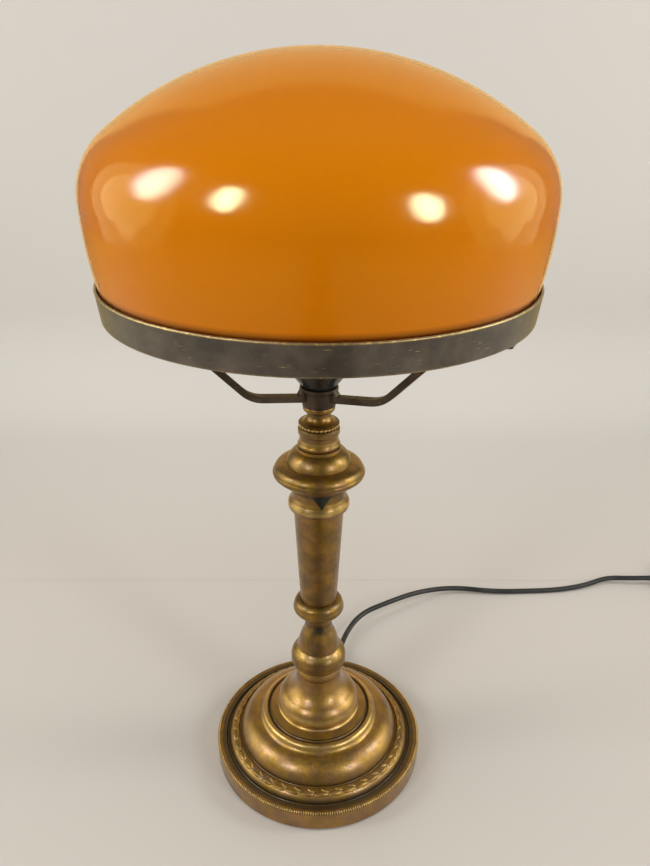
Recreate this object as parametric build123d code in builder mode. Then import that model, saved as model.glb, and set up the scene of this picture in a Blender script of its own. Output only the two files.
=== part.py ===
from build123d import *
import math
import os

os.makedirs("parts", exist_ok=True)

# A turned brass table lamp with a domed glass shade, in millimetres.
# The origin is the middle of the foot on the table, +Z is up and -Y is the front.

# Heights of the turned stack, from the table up
foot_height = 78.5
baluster_height = 43.0
lower_collar_height = 13.0
column_height = 71.0
upper_collar_height = 16.5
knop_height = 26.0
neck_height = 13.0
beaded_collar_height = 7.5
seat_neck_height = 6.5
hub_height = 12.0

# Largest radii of the turned stack
foot_radius = 73.3
baluster_radius = 19.1
lower_collar_radius = 17.0
column_top_radius = 15.95
column_bottom_radius = 12.1
column_wall = 2.0
upper_collar_radius = 19.4
knop_radius = 28.5
neck_radius = 13.0
beaded_collar_radius = 12.4
seat_neck_radius = 9.5
hub_radius = 11.6

# Clearances
bore_clearance = 0.15
running_clearance = 0.05
seat_clearance = 0.4
overrun = 1.0

# The pipe that clamps the stack
tube_radius = 5.0
tube_wall = 1.0
tube_foot_height = 10.5
tube_above_hub = 9.5
bore_radius = tube_radius + bore_clearance

# The underside and the weight
felt_thickness = 1.2
plate_thickness = 1.2
foot_wall = 3.1
weight_boss_height = 33.0
weight_boss_radius = 24.0
nut_across_flats = 17.0
nut_height = 5.0
washer_radius = 16.0
washer_thickness = 1.6
recess_radius = 19.0
channel_width = 8.0
plate_screw_radius = 1.5
plate_screw_head_radius = 3.0
plate_screw_head_height = 1.2
plate_screw_length = 9.0
plate_screw_circle = 48.0
plate_screw_count = 3

# Beads under the collar's cap
bead_radius = 1.25
bead_rise = 1.3
bead_row_inset = 1.3
bead_count = 30

# Arms
arm_count = 3
first_arm_angle = -34.0
arm_width = 5.0
arm_thickness = 4.0
arm_root_drop = 6.4
arm_knee_radius = 43.0
arm_knee_drop = 0.75
arm_knee_bend = 22.0
arm_shoulder_inset = 29.5
arm_shoulder_bend = 9.0
arm_tip_inset = 3.8
gusset_length = 5.5
gusset_middle_share = 0.3

# Shade ring
ring_bottom = 336.8
ring_height = 16.0
ring_top_radius = 119.3
ring_flare = 1.8
ring_wall = 1.3
ledge_width = 9.5
ledge_thickness = 1.6
ring_screw_inset = 6.5
ring_screw_radius = 2.0
ring_screw_head_radius = 2.5
ring_screw_head_height = 1.1

# Glass shade
glass_thickness = 3.6
glass_overhang = 2.6
glass_widest_above_ring = 42.6
glass_rise = 68.7
glass_shoulder_radius = 40.0
glass_neck_above_ring = 0.8

# Lampholder
holder_radius = 19.6
holder_root_radius = 9.9
holder_cone_height = 12.5
holder_cap_height = 22.0
holder_wall = 2.8
holder_floor = 4.0
holder_step = 3.0
holder_step_width = 1.4
sleeve_height = 34.0
sleeve_wall = 2.2
sleeve_lip = 2.4
socket_nut_height = 3.5
socket_nut_across_flats = 14.0
insert_height = 10.0
insert_boss_radius = 14.4
insert_boss_height = 3.0
shell_radius = 13.45
shell_wall = 0.5
shell_height = 19.0
contact_strip_length = 16.0
contact_strip_width = 5.0
contact_strip_thickness = 0.6
contact_spring_height = 2.2
contact_spring_length = 8.0
shell_contact_height = 12.0
terminal_circle = 9.0
terminal_screw_radius = 1.5
terminal_screw_head_radius = 2.8
terminal_screw_head_height = 2.2
terminal_screw_length = 7.0
core_radius = 0.8
core_bend = 1.0

# Bulb
bulb_cap_radius = 13.15
bulb_cap_height = 21.0
bulb_cap_wall = 0.4
tip_radius = 3.2
tip_height = 4.6
insulator_drop = 1.6
insulator_height = 4.4
insulator_inset = 3.0
bulb_radius = 30.0
bulb_length = 108.0
bulb_neck_share = 0.24
bulb_glass_wall = 0.8
bulb_taper_angle = 35.0

# Cord
cord_radius = 2.3
exit_angle = 78.5
exit_height = 7.6
bushing_flange_radius = 5.4
bushing_flange_thickness = 1.6
bushing_hole_radius = 4.2
bushing_tip_radius = 3.1
bushing_length = 20.0
bushing_inner_length = 4.0
inner_bend = 5.5
straight_lead_in = 16.0
cord_arc_share = 0.45

# In-line switch
switch_length = 58.0
switch_width = 24.0
switch_height = 15.4
switch_wall = 2.0
switch_end = 341.0
switch_across = 193.5
switch_base_share = 0.5
switch_corner = 7.0
switch_rounding = 1.4
rocker_radius = 9.8
rocker_half_width = 4.6
rocker_end_angle = 22.0
rocker_dip = 1.0
rocker_below = 3.2
rocker_tilt = 12.0
rocker_pin_height = 12.0
rocker_pin_radius = 1.0
rib_thickness = 2.0
rib_half_length = 3.0
rib_below_pin = 2.0
slot_clearance = 0.35
switch_screw_radius = 1.4
switch_screw_head_radius = 2.6
switch_screw_head_height = 1.6
switch_screw_inset = 6.5
switch_boss_radius = 3.2
switch_contact_length = 7.0
switch_contact_width = 5.0
switch_contact_height = 2.0
switch_contact_gap = 9.0

# Put-away coil
coil_inner_radius = 17.2
coil_pitch = 6.0
coil_rise = 5.7
coil_half_turns = 7
coil_gap = 40.0
coil_neighbour_samples = 8
link_end_run = 12.0

# Mains plug
tail_end_run = 9.0
tail_bend_run = 18.0
tail_bend_side = 14.0
plug_width = 35.3
plug_thickness = 13.7
plug_length = 36.0
plug_face_share = 0.16
plug_tail_width = 10.0
plug_tail_thickness = 9.0
plug_corner_share = 0.45
plug_pin_radius = 2.0
plug_pin_root_radius = 1.6
plug_pin_length = 19.0
plug_pin_spacing = 18.6
plug_pin_root = 8.0

# Half outlines, each piece from its foot up. Two numbers are a straight cut to that point,
# four are a round cut through a middle point to an end point. The first of a pair is a
# share of the piece's largest radius, the second a share of its height.
foot_outline_shares = [
    (0.988, 0.006),
    (0.998, 0.016, 1.0, 0.04),
    (1.0, 0.17),
    (0.992, 0.189, 0.974, 0.195),
    (0.918, 0.19),
    (0.899, 0.171, 0.886, 0.189),
    (0.854, 0.237, 0.792, 0.262),
    (0.776, 0.246, 0.765, 0.265),
    (0.706, 0.369, 0.601, 0.425),
    (0.566, 0.438, 0.55, 0.461),
    (0.534, 0.483, 0.497, 0.489),
    (0.482, 0.476, 0.47, 0.504),
    (0.398, 0.525),
    (0.387, 0.538),
    (0.385, 0.618, 0.33, 0.696),
    (0.248, 0.772, 0.21, 0.873),
    (0.208, 0.911),
    (0.219, 0.95, 0.207, 0.989),
    (0.202, 1.0),
]
foot_hollow_shares = [
    (0.952, 0.006),
    (0.958, 0.159),
    (0.77, 0.159),
    (0.745, 0.24),
    (0.67, 0.335),
    (0.56, 0.395),
    (0.36, 0.47),
    (0.335, 0.53),
    (0.335, 0.6),
    (0.28, 0.68),
    (0.19, 0.775),
    (0.15, 0.84),
]
baluster_outline_shares = [
    (0.79, 0.0),
    (0.8, 0.04),
    (0.95, 0.06, 0.985, 0.13),
    (0.975, 0.23, 0.81, 0.335),
    (0.75, 0.365),
    (0.7, 0.49, 0.56, 0.68),
    (0.49, 0.77, 0.475, 0.86),
    (0.53, 1.0),
]
lower_collar_outline_shares = [
    (0.63, 0.0),
    (0.84, 0.15, 0.955, 0.3),
    (1.0, 0.44, 0.97, 0.62),
    (0.92, 0.84, 0.77, 1.0),
]
upper_collar_outline_shares = [
    (0.92, 0.0),
    (0.975, 0.06, 1.0, 0.16),
    (0.985, 0.3, 0.93, 0.42),
    (0.88, 0.57),
    (0.88, 1.0),
]
knop_outline_shares = [
    (0.62, 0.0),
    (0.8, 0.12, 0.97, 0.27),
    (1.0, 0.325, 0.99, 0.39),
    (0.975, 0.405),
    (0.93, 0.505, 0.83, 0.57),
    (0.76, 0.595, 0.7, 0.6),
    (0.645, 0.77, 0.48, 0.93),
    (0.47, 1.0),
]
neck_outline_shares = [
    (0.95, 0.0),
    (1.0, 0.1, 0.97, 0.22),
    (0.925, 0.36, 0.92, 0.66),
    (0.98, 0.72),
    (0.98, 0.92),
    (0.91, 1.0),
]
beaded_collar_outline_shares = [
    (0.84, 0.0),
    (0.84, 0.32),
    (1.0, 0.38),
    (0.95, 0.46),
    (0.72, 0.62, 0.58, 1.0),
]
seat_neck_outline_shares = [
    (0.73, 0.0),
    (0.71, 0.4),
    (1.0, 0.6, 0.98, 0.95),
    (0.95, 1.0),
]
hub_outline_shares = [
    (0.86, 0.0),
    (0.93, 0.75),
    (1.0, 0.86),
    (0.98, 1.0),
]


def draw_cuts(shares, radius, bottom, height):
    """Draws the cuts of one outline in turn and returns its first and last point."""
    first = (shares[0][0] * radius, bottom + shares[0][1] * height)
    here = first
    for cut in shares[1:]:
        end = (cut[-2] * radius, bottom + cut[-1] * height)
        if len(cut) == 2:
            Line(here, end)
        else:
            middle = (cut[0] * radius, bottom + cut[1] * height)
            ThreePointArc(here, middle, end)
        here = end
    return first, here


def draw_turned(shares, radius, bottom, height, bore):
    """Draws a turned piece's closed half outline round its bore."""
    first, last = draw_cuts(shares, radius, bottom, height)
    Polyline(last, (bore, last[1]), (bore, first[1]), first)


def draw_ring_outline(inner, outer, bottom, top):
    """Draws the closed half outline of a plain ring or disc."""
    Polyline((inner, bottom), (outer, bottom), (outer, top), (inner, top), close=True)


def run_radii(points):
    """The arc at each corner is as large as the corner's two runs allow."""
    radii = []
    for before, corner, after in zip(points, points[1:], points[2:]):
        coming = Vector(*corner) - Vector(*before)
        going = Vector(*after) - Vector(*corner)
        half_turn = math.radians(coming.get_angle(going)) / 2
        shorter = min(coming.length, going.length)
        radii.append(cord_arc_share * shorter / math.tan(half_turn))
    return radii


def finish(piece, name):
    """Labels a finished piece and writes it under its own name."""
    piece.part.label = name
    export_step(piece.part, f"parts/{name}.step")


# Heights where the turned pieces meet
baluster_bottom = foot_height
lower_collar_bottom = baluster_bottom + baluster_height
column_bottom = lower_collar_bottom + lower_collar_height
upper_collar_bottom = column_bottom + column_height
knop_bottom = upper_collar_bottom + upper_collar_height
neck_bottom = knop_bottom + knop_height
beaded_collar_bottom = neck_bottom + neck_height
seat_neck_bottom = beaded_collar_bottom + beaded_collar_height
hub_bottom = seat_neck_bottom + seat_neck_height
hub_top = hub_bottom + hub_height
tube_top = hub_top + tube_above_hub

# Foot: the shell, with a hole in its back for the cord's bushing
exit_plane = Plane(
    origin=(0, 0, exit_height),
    z_dir=(math.cos(math.radians(exit_angle)), math.sin(math.radians(exit_angle)), 0),
)
skirt_inner_radius = foot_hollow_shares[0][0] * foot_radius
with BuildPart() as base_shell:
    with BuildSketch(Plane.XZ):
        with BuildLine():
            outer_foot, outer_top = draw_cuts(foot_outline_shares, foot_radius, 0, foot_height)
            inner_foot, inner_top = draw_cuts(foot_hollow_shares, foot_radius, 0, foot_height)
            Line(outer_foot, inner_foot)
            Polyline(outer_top, (bore_radius, outer_top[1]), (bore_radius, inner_top[1]), inner_top)
        make_face()
    revolve(axis=Axis.Z)
    with BuildSketch(exit_plane.offset(skirt_inner_radius - foot_wall)):
        Circle(bushing_hole_radius)
    extrude(amount=2 * foot_wall + foot_radius - skirt_inner_radius, mode=Mode.SUBTRACT)
finish(base_shell, "base_shell")

# Weight: it bears on the flat underside of the rim, with a recess for the nut below
weight_bottom = felt_thickness + plate_thickness
weight_rim_top = foot_hollow_shares[1][1] * foot_height
weight_rim_radius = skirt_inner_radius - seat_clearance
weight_slope_radius = foot_hollow_shares[2][0] * foot_radius - seat_clearance
washer_bottom = tube_foot_height + nut_height + overrun
recess_top = washer_bottom + washer_thickness
with BuildPart() as base_weight:
    with BuildSketch(Plane.XZ):
        with BuildLine():
            Polyline(
                (recess_radius, weight_bottom),
                (weight_rim_radius, weight_bottom),
                (weight_rim_radius, weight_rim_top),
                (weight_slope_radius, weight_rim_top),
                (weight_boss_radius, weight_boss_height),
                (bore_radius, weight_boss_height),
                (bore_radius, recess_top),
                (recess_radius, recess_top),
                close=True,
            )
        make_face()
    revolve(axis=Axis.Z)
    channel_top = exit_height + cord_radius + seat_clearance
    with BuildSketch(exit_plane):
        with Locations((0, (channel_top + weight_bottom) / 2 - exit_height)):
            Rectangle(channel_width, channel_top - weight_bottom)
    extrude(amount=foot_radius, mode=Mode.SUBTRACT)
    with BuildSketch(Plane.XY.offset(weight_bottom)):
        with PolarLocations(plate_screw_circle, plate_screw_count):
            Circle(plate_screw_radius)
    extrude(amount=plate_screw_length, mode=Mode.SUBTRACT)
    with BuildSketch(exit_plane.offset(skirt_inner_radius - bushing_inner_length - seat_clearance)):
        Circle(bushing_flange_radius + seat_clearance)
    extrude(amount=foot_radius, mode=Mode.SUBTRACT)
finish(base_weight, "base_weight")

with BuildPart() as base_plate:
    with BuildSketch(Plane.XY.offset(felt_thickness)):
        Circle(weight_rim_radius)
        with PolarLocations(plate_screw_circle, plate_screw_count):
            Circle(plate_screw_head_radius, mode=Mode.SUBTRACT)
    extrude(amount=plate_thickness)
finish(base_plate, "base_plate")

with BuildPart() as plate_screws:
    with BuildSketch(Plane.XY.offset(felt_thickness)):
        with PolarLocations(plate_screw_circle, plate_screw_count):
            Circle(plate_screw_head_radius)
    extrude(amount=plate_screw_head_height)
    with BuildSketch(Plane.XY.offset(felt_thickness + plate_screw_head_height)):
        with PolarLocations(plate_screw_circle, plate_screw_count):
            Circle(plate_screw_radius)
    extrude(amount=plate_screw_length)
finish(plate_screws, "plate_screws")

with BuildPart() as base_felt:
    with BuildSketch(Plane.XY):
        Circle(weight_rim_radius)
    extrude(amount=felt_thickness)
finish(base_felt, "base_felt")

# Pipe, with its nut and washer under the weight
with BuildPart() as threaded_tube:
    with BuildSketch(Plane.XY.offset(tube_foot_height)):
        Circle(tube_radius)
        Circle(tube_radius - tube_wall, mode=Mode.SUBTRACT)
    extrude(amount=tube_top - tube_foot_height)
finish(threaded_tube, "threaded_tube")

with BuildPart() as tube_nut:
    with BuildSketch(Plane.XY.offset(washer_bottom - nut_height)):
        RegularPolygon(nut_across_flats / 2, 6, major_radius=False)
        Circle(tube_radius, mode=Mode.SUBTRACT)
    extrude(amount=nut_height)
finish(tube_nut, "tube_nut")

with BuildPart() as tube_washer:
    with BuildSketch(Plane.XY.offset(washer_bottom)):
        Circle(washer_radius)
        Circle(bore_radius, mode=Mode.SUBTRACT)
    extrude(amount=washer_thickness)
finish(tube_washer, "tube_washer")

# Turned stack
with BuildPart() as baluster:
    with BuildSketch(Plane.XZ):
        with BuildLine():
            draw_turned(
                baluster_outline_shares, baluster_radius, baluster_bottom, baluster_height, bore_radius
            )
        make_face()
    revolve(axis=Axis.Z)
finish(baluster, "baluster")

with BuildPart() as lower_collar:
    with BuildSketch(Plane.XZ):
        with BuildLine():
            draw_turned(
                lower_collar_outline_shares,
                lower_collar_radius,
                lower_collar_bottom,
                lower_collar_height,
                bore_radius,
            )
        make_face()
    revolve(axis=Axis.Z)
finish(lower_collar, "lower_collar")

with BuildPart() as column_tube:
    with BuildSketch(Plane.XZ):
        with BuildLine():
            Polyline(
                (column_bottom_radius - column_wall, column_bottom),
                (column_bottom_radius, column_bottom),
                (column_top_radius, upper_collar_bottom),
                (column_top_radius - column_wall, upper_collar_bottom),
                close=True,
            )
        make_face()
    revolve(axis=Axis.Z)
finish(column_tube, "column_tube")

with BuildPart() as upper_collar:
    with BuildSketch(Plane.XZ):
        with BuildLine():
            draw_turned(
                upper_collar_outline_shares,
                upper_collar_radius,
                upper_collar_bottom,
                upper_collar_height,
                bore_radius,
            )
        make_face()
    revolve(axis=Axis.Z)
finish(upper_collar, "upper_collar")

with BuildPart() as knop:
    with BuildSketch(Plane.XZ):
        with BuildLine():
            draw_turned(knop_outline_shares, knop_radius, knop_bottom, knop_height, bore_radius)
        make_face()
    revolve(axis=Axis.Z)
finish(knop, "knop")

with BuildPart() as neck:
    with BuildSketch(Plane.XZ):
        with BuildLine():
            draw_turned(neck_outline_shares, neck_radius, neck_bottom, neck_height, bore_radius)
        make_face()
    revolve(axis=Axis.Z)
finish(neck, "neck")

bead_row_radius = beaded_collar_radius - bead_row_inset
bead_row_height = beaded_collar_bottom + bead_rise
with BuildPart() as beaded_collar:
    with BuildSketch(Plane.XZ):
        with BuildLine():
            draw_turned(
                beaded_collar_outline_shares,
                beaded_collar_radius,
                beaded_collar_bottom,
                beaded_collar_height,
                bore_radius,
            )
        make_face()
    revolve(axis=Axis.Z)
    with Locations((0, 0, bead_row_height)):
        with PolarLocations(bead_row_radius, bead_count):
            Sphere(bead_radius)
finish(beaded_collar, "beaded_collar")

with BuildPart() as seat_neck:
    with BuildSketch(Plane.XZ):
        with BuildLine():
            draw_turned(
                seat_neck_outline_shares,
                seat_neck_radius,
                seat_neck_bottom,
                seat_neck_height,
                bore_radius,
            )
        make_face()
    revolve(axis=Axis.Z)
finish(seat_neck, "seat_neck")

# Spider: a hub and three arms that bend up to pads under the ring's ledge
arm_pad_top = ring_bottom
arm_root_height = hub_top - arm_root_drop
arm_knee_height = hub_top - arm_knee_drop
ring_bottom_radius = ring_top_radius - ring_flare
ring_screw_circle = ring_bottom_radius - ring_screw_inset
arm_tip_radius = ring_bottom_radius - arm_tip_inset
arm_shoulder_radius = ring_bottom_radius - arm_shoulder_inset
arm_shoulder_height = arm_pad_top - arm_thickness / 2
arm_line = [
    (bore_radius + arm_thickness, arm_root_height),
    (arm_knee_radius, arm_knee_height),
    (arm_shoulder_radius, arm_shoulder_height),
    (arm_tip_radius, arm_shoulder_height),
]
arm_slope = (arm_knee_height - arm_root_height) / (arm_knee_radius - arm_line[0][0])
gusset_tip = (
    hub_radius + gusset_length,
    arm_root_height + arm_slope * (hub_radius + gusset_length - arm_line[0][0]),
)
gusset_top = (hub_outline_shares[-1][0] * hub_radius, hub_top - arm_knee_drop)
gusset_middle = (
    hub_radius + gusset_middle_share * gusset_length,
    gusset_tip[1] + gusset_middle_share * (gusset_top[1] - gusset_tip[1]),
)
with BuildPart() as spider:
    with BuildSketch(Plane.XZ):
        with BuildLine():
            draw_turned(hub_outline_shares, hub_radius, hub_bottom, hub_height, bore_radius)
        make_face()
    revolve(axis=Axis.Z)
    for arm in range(arm_count):
        arm_angle = math.radians(first_arm_angle + arm * 360 / arm_count)
        arm_plane = Plane(
            origin=(0, 0, 0),
            x_dir=(math.cos(arm_angle), math.sin(arm_angle), 0),
            z_dir=(math.sin(arm_angle), -math.cos(arm_angle), 0),
        )
        with BuildSketch(arm_plane):
            with BuildLine() as arm_course:
                FilletPolyline(*arm_line, radius=[arm_knee_bend, arm_shoulder_bend])
            trace(arm_course.line, line_width=arm_thickness)
        extrude(amount=arm_width / 2, both=True)
        with BuildSketch(arm_plane):
            with BuildLine():
                Polyline(
                    gusset_tip,
                    gusset_middle,
                    gusset_top,
                    (arm_line[0][0], gusset_top[1]),
                    (arm_line[0][0], gusset_tip[1]),
                    close=True,
                )
            make_face()
        extrude(amount=arm_width / 2, both=True)
    with BuildSketch(Plane.XY.offset(arm_pad_top)):
        with PolarLocations(ring_screw_circle, arm_count, start_angle=first_arm_angle):
            Circle(ring_screw_radius)
    extrude(amount=-2 * arm_thickness, mode=Mode.SUBTRACT)
finish(spider, "spider")

# Shade ring: a slightly flared band with an inner ledge and a rolled top edge
ring_top = ring_bottom + ring_height
ledge_top = ring_bottom + ledge_thickness
with BuildPart() as shade_ring:
    with BuildSketch(Plane.XZ):
        with BuildLine():
            Line((ring_bottom_radius - ledge_width, ring_bottom), (ring_bottom_radius, ring_bottom))
            Line((ring_bottom_radius, ring_bottom), (ring_top_radius, ring_top - ring_wall))
            ThreePointArc(
                (ring_top_radius, ring_top - ring_wall),
                (ring_top_radius - ring_wall / 2, ring_top),
                (ring_top_radius - ring_wall, ring_top - ring_wall),
            )
            Polyline(
                (ring_top_radius - ring_wall, ring_top - ring_wall),
                (ring_bottom_radius - ring_wall, ledge_top),
                (ring_bottom_radius - ledge_width, ledge_top),
                (ring_bottom_radius - ledge_width, ring_bottom),
            )
        make_face()
    revolve(axis=Axis.Z)
    with BuildSketch(Plane.XY.offset(ring_bottom)):
        with PolarLocations(ring_screw_circle, arm_count, start_angle=first_arm_angle):
            Circle(ring_screw_radius)
    extrude(amount=ledge_thickness, mode=Mode.SUBTRACT)
finish(shade_ring, "shade_ring")

ring_screw_seat = arm_pad_top - arm_thickness
with BuildPart() as ring_screws:
    with BuildSketch(Plane.XY.offset(ring_screw_seat)):
        with PolarLocations(ring_screw_circle, arm_count, start_angle=first_arm_angle):
            Circle(ring_screw_head_radius)
    extrude(amount=-ring_screw_head_height)
    with BuildSketch(Plane.XY.offset(ring_screw_seat)):
        with PolarLocations(ring_screw_circle, arm_count, start_angle=first_arm_angle):
            Circle(ring_screw_radius)
    extrude(amount=ledge_top - ring_screw_seat)
finish(ring_screws, "ring_screws")

# Glass shade: a dome of two arcs over a slightly bulging wall and a straight fitter rim
glass_rim_bottom = ledge_top + running_clearance
glass_rim_radius = ring_bottom_radius - ring_wall - seat_clearance
glass_neck_radius = ring_top_radius - ring_wall - seat_clearance
glass_neck_height = ring_top + glass_neck_above_ring
glass_radius = ring_top_radius + glass_overhang
glass_widest_height = ring_top + glass_widest_above_ring
shoulder_middle = (glass_radius - glass_shoulder_radius, glass_widest_height)
crown_radius = (
    glass_radius**2 + glass_rise**2 - 2 * glass_radius * glass_shoulder_radius
) / (2 * (glass_rise - glass_shoulder_radius))
crown_middle = (0, glass_widest_height + glass_rise - crown_radius)
shoulder_turn = math.degrees(
    math.atan2(shoulder_middle[1] - crown_middle[1], shoulder_middle[0])
)
wall_drop = glass_widest_height - glass_neck_height
wall_in = glass_radius - glass_neck_radius
wall_radius = (wall_drop**2 + wall_in**2) / (2 * wall_in)
wall_turn = math.degrees(math.asin(wall_drop / wall_radius))


def draw_glass_side(inset):
    """Draws one face of the glass, an inset in from its outside, and returns its two ends."""
    wall_middle = (glass_radius - wall_radius, glass_widest_height)
    wall = CenterArc(wall_middle, wall_radius - inset, -wall_turn, wall_turn)
    CenterArc(shoulder_middle, glass_shoulder_radius - inset, 0, shoulder_turn)
    CenterArc(crown_middle, crown_radius - inset, shoulder_turn, 90 - shoulder_turn)
    foot = (glass_rim_radius - inset, glass_rim_bottom)
    Line(foot, wall @ 0)
    return foot, (0, glass_widest_height + glass_rise - inset)


with BuildPart() as glass_shade:
    with BuildSketch(Plane.XZ):
        with BuildLine():
            outside_foot, outside_top = draw_glass_side(0)
            inside_foot, inside_top = draw_glass_side(glass_thickness)
            Line(outside_foot, inside_foot)
            Line(outside_top, inside_top)
        make_face()
    revolve(axis=Axis.Z)
finish(glass_shade, "glass_shade")

# Lampholder, clamped on the pipe above the hub
holder_bottom = hub_top
cap_top = holder_bottom + holder_cap_height
cap_step = cap_top - holder_step
holder_inner_radius = holder_radius - holder_wall
with BuildPart() as socket_cap:
    with BuildSketch(Plane.XZ):
        with BuildLine():
            Polyline(
                (tube_radius, holder_bottom),
                (holder_root_radius, holder_bottom),
                (holder_radius, holder_bottom + holder_cone_height),
                (holder_radius, cap_top),
                (holder_inner_radius, cap_top),
                (holder_inner_radius, cap_step),
                (holder_inner_radius - holder_step_width, cap_step),
                (holder_inner_radius - holder_step_width, holder_bottom + holder_cone_height),
                (holder_root_radius, holder_bottom + holder_floor),
                (tube_radius, holder_bottom + holder_floor),
                close=True,
            )
        make_face()
    revolve(axis=Axis.Z)
finish(socket_cap, "socket_cap")

with BuildPart() as socket_nut:
    with BuildSketch(Plane.XY.offset(holder_bottom + holder_floor)):
        RegularPolygon(socket_nut_across_flats / 2, 6, major_radius=False)
        Circle(tube_radius, mode=Mode.SUBTRACT)
    extrude(amount=socket_nut_height)
finish(socket_nut, "socket_nut")

insert_radius = holder_inner_radius - running_clearance
insert_top = cap_step + insert_height
shell_bottom = insert_top + insert_boss_height
with BuildPart() as socket_insert:
    with BuildSketch(Plane.XY.offset(cap_step)):
        Circle(insert_radius)
    extrude(amount=insert_height)
    with BuildSketch(Plane.XY.offset(insert_top)):
        Circle(insert_boss_radius)
    extrude(amount=insert_boss_height)
    with BuildSketch(Plane.XY.offset(cap_step)):
        with PolarLocations(terminal_circle, 2):
            Circle(terminal_screw_radius)
    extrude(amount=terminal_screw_length, mode=Mode.SUBTRACT)
finish(socket_insert, "socket_insert")

sleeve_top = cap_top + sleeve_height
sleeve_inner_radius = holder_inner_radius
with BuildPart() as socket_sleeve:
    with BuildSketch(Plane.XZ):
        with BuildLine():
            draw_ring_outline(sleeve_inner_radius, holder_radius, cap_top, sleeve_top)
        make_face()
        with BuildLine():
            draw_ring_outline(
                sleeve_inner_radius - sleeve_lip, holder_radius, sleeve_top - sleeve_wall, sleeve_top
            )
        make_face()
    revolve(axis=Axis.Z)
    fillet(socket_sleeve.edges().filter_by(GeomType.CIRCLE).group_by(Axis.Z)[-1][-1], sleeve_wall / 2)
finish(socket_sleeve, "socket_sleeve")

with BuildPart() as screw_shell:
    with BuildSketch(Plane.XY.offset(shell_bottom)):
        Circle(shell_radius + shell_wall)
        Circle(shell_radius, mode=Mode.SUBTRACT)
    extrude(amount=shell_height)
finish(screw_shell, "screw_shell")

with BuildPart() as centre_contact:
    with BuildSketch(Plane.XZ):
        with BuildLine():
            Polyline(
                (-contact_strip_length / 2, shell_bottom),
                (contact_strip_length / 2, shell_bottom),
                (contact_strip_length / 2, shell_bottom + contact_strip_thickness),
                (contact_spring_length / 2, shell_bottom + contact_spring_height),
                (-contact_spring_length / 2, shell_bottom + contact_spring_height),
                (-contact_strip_length / 2, shell_bottom + contact_strip_thickness),
                close=True,
            )
        make_face()
    extrude(amount=contact_strip_width / 2, both=True)
finish(centre_contact, "centre_contact")

shell_contact_inner = insert_boss_radius
with BuildPart() as shell_contact:
    with BuildSketch(Plane.XY.offset(insert_top)):
        Circle(shell_contact_inner + contact_strip_thickness)
        Circle(shell_contact_inner, mode=Mode.SUBTRACT)
        Rectangle(2 * holder_radius, contact_strip_width, mode=Mode.INTERSECT)
        with Locations((-holder_radius, 0)):
            Rectangle(2 * holder_radius, 2 * contact_strip_width, mode=Mode.SUBTRACT)
    extrude(amount=shell_contact_height)
    with BuildSketch(Plane.XY.offset(shell_bottom)):
        Circle(shell_contact_inner)
        Circle(shell_radius + shell_wall, mode=Mode.SUBTRACT)
        Rectangle(2 * holder_radius, contact_strip_width, mode=Mode.INTERSECT)
        with Locations((-holder_radius, 0)):
            Rectangle(2 * holder_radius, 2 * contact_strip_width, mode=Mode.SUBTRACT)
    extrude(amount=contact_strip_thickness)
finish(shell_contact, "shell_contact")

with BuildPart() as terminal_screws:
    with BuildSketch(Plane.XY.offset(cap_step)):
        with PolarLocations(terminal_circle, 2):
            Circle(terminal_screw_head_radius)
    extrude(amount=-terminal_screw_head_height)
    with BuildSketch(Plane.XY.offset(cap_step)):
        with PolarLocations(terminal_circle, 2):
            Circle(terminal_screw_radius)
    extrude(amount=terminal_screw_length)
finish(terminal_screws, "terminal_screws")

# Bulb: its tip rides on its own, because the bulb turns and rises together
tip_bottom = shell_bottom + contact_spring_height + running_clearance
insulator_bottom = tip_bottom + insulator_drop
cap_bottom = insulator_bottom + insulator_height
bulb_cap_inner = bulb_cap_radius - bulb_cap_wall
with BuildPart() as bulb_tip:
    with BuildSketch(Plane.XY.offset(tip_bottom)):
        Circle(tip_radius)
    extrude(amount=tip_height)
    fillet(bulb_tip.edges().group_by(Axis.Z)[0], insulator_drop / 2)
finish(bulb_tip, "bulb_tip")

tip_bore = tip_radius + running_clearance
tip_pocket = tip_bottom + tip_height + running_clearance
with BuildPart() as bulb_insulator:
    with BuildSketch(Plane.XZ):
        with BuildLine():
            Polyline(
                (tip_bore, insulator_bottom),
                (tip_bore + bulb_cap_wall, insulator_bottom),
                (bulb_cap_inner, cap_bottom),
                (bulb_cap_inner, cap_bottom + insulator_inset),
                (0, cap_bottom + insulator_inset),
                (0, tip_pocket),
                (tip_bore, tip_pocket),
                close=True,
            )
        make_face()
    revolve(axis=Axis.Z)
finish(bulb_insulator, "bulb_insulator")

bulb_cap_top = cap_bottom + bulb_cap_height
with BuildPart() as bulb_cap:
    with BuildSketch(Plane.XY.offset(cap_bottom)):
        Circle(bulb_cap_radius)
        Circle(bulb_cap_inner, mode=Mode.SUBTRACT)
    extrude(amount=bulb_cap_height)
finish(bulb_cap, "bulb_cap")

bulb_top = tip_bottom + bulb_length
bulb_middle = bulb_top - bulb_radius
bulb_glass_bottom = bulb_cap_top - bulb_neck_share * bulb_cap_height
taper = math.radians(bulb_taper_angle)


def draw_bulb_side(inset):
    """Draws one face of the bulb's glass, an inset in from its outside."""
    radius = bulb_radius - inset
    neck = bulb_cap_inner - inset
    touch = (radius * math.cos(taper), bulb_middle - radius * math.sin(taper))
    knee = (neck, touch[1] - (touch[0] - neck) / math.tan(taper))
    Polyline((neck, bulb_glass_bottom), knee, touch)
    CenterArc((0, bulb_middle), radius, -bulb_taper_angle, 90 + bulb_taper_angle)


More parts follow.
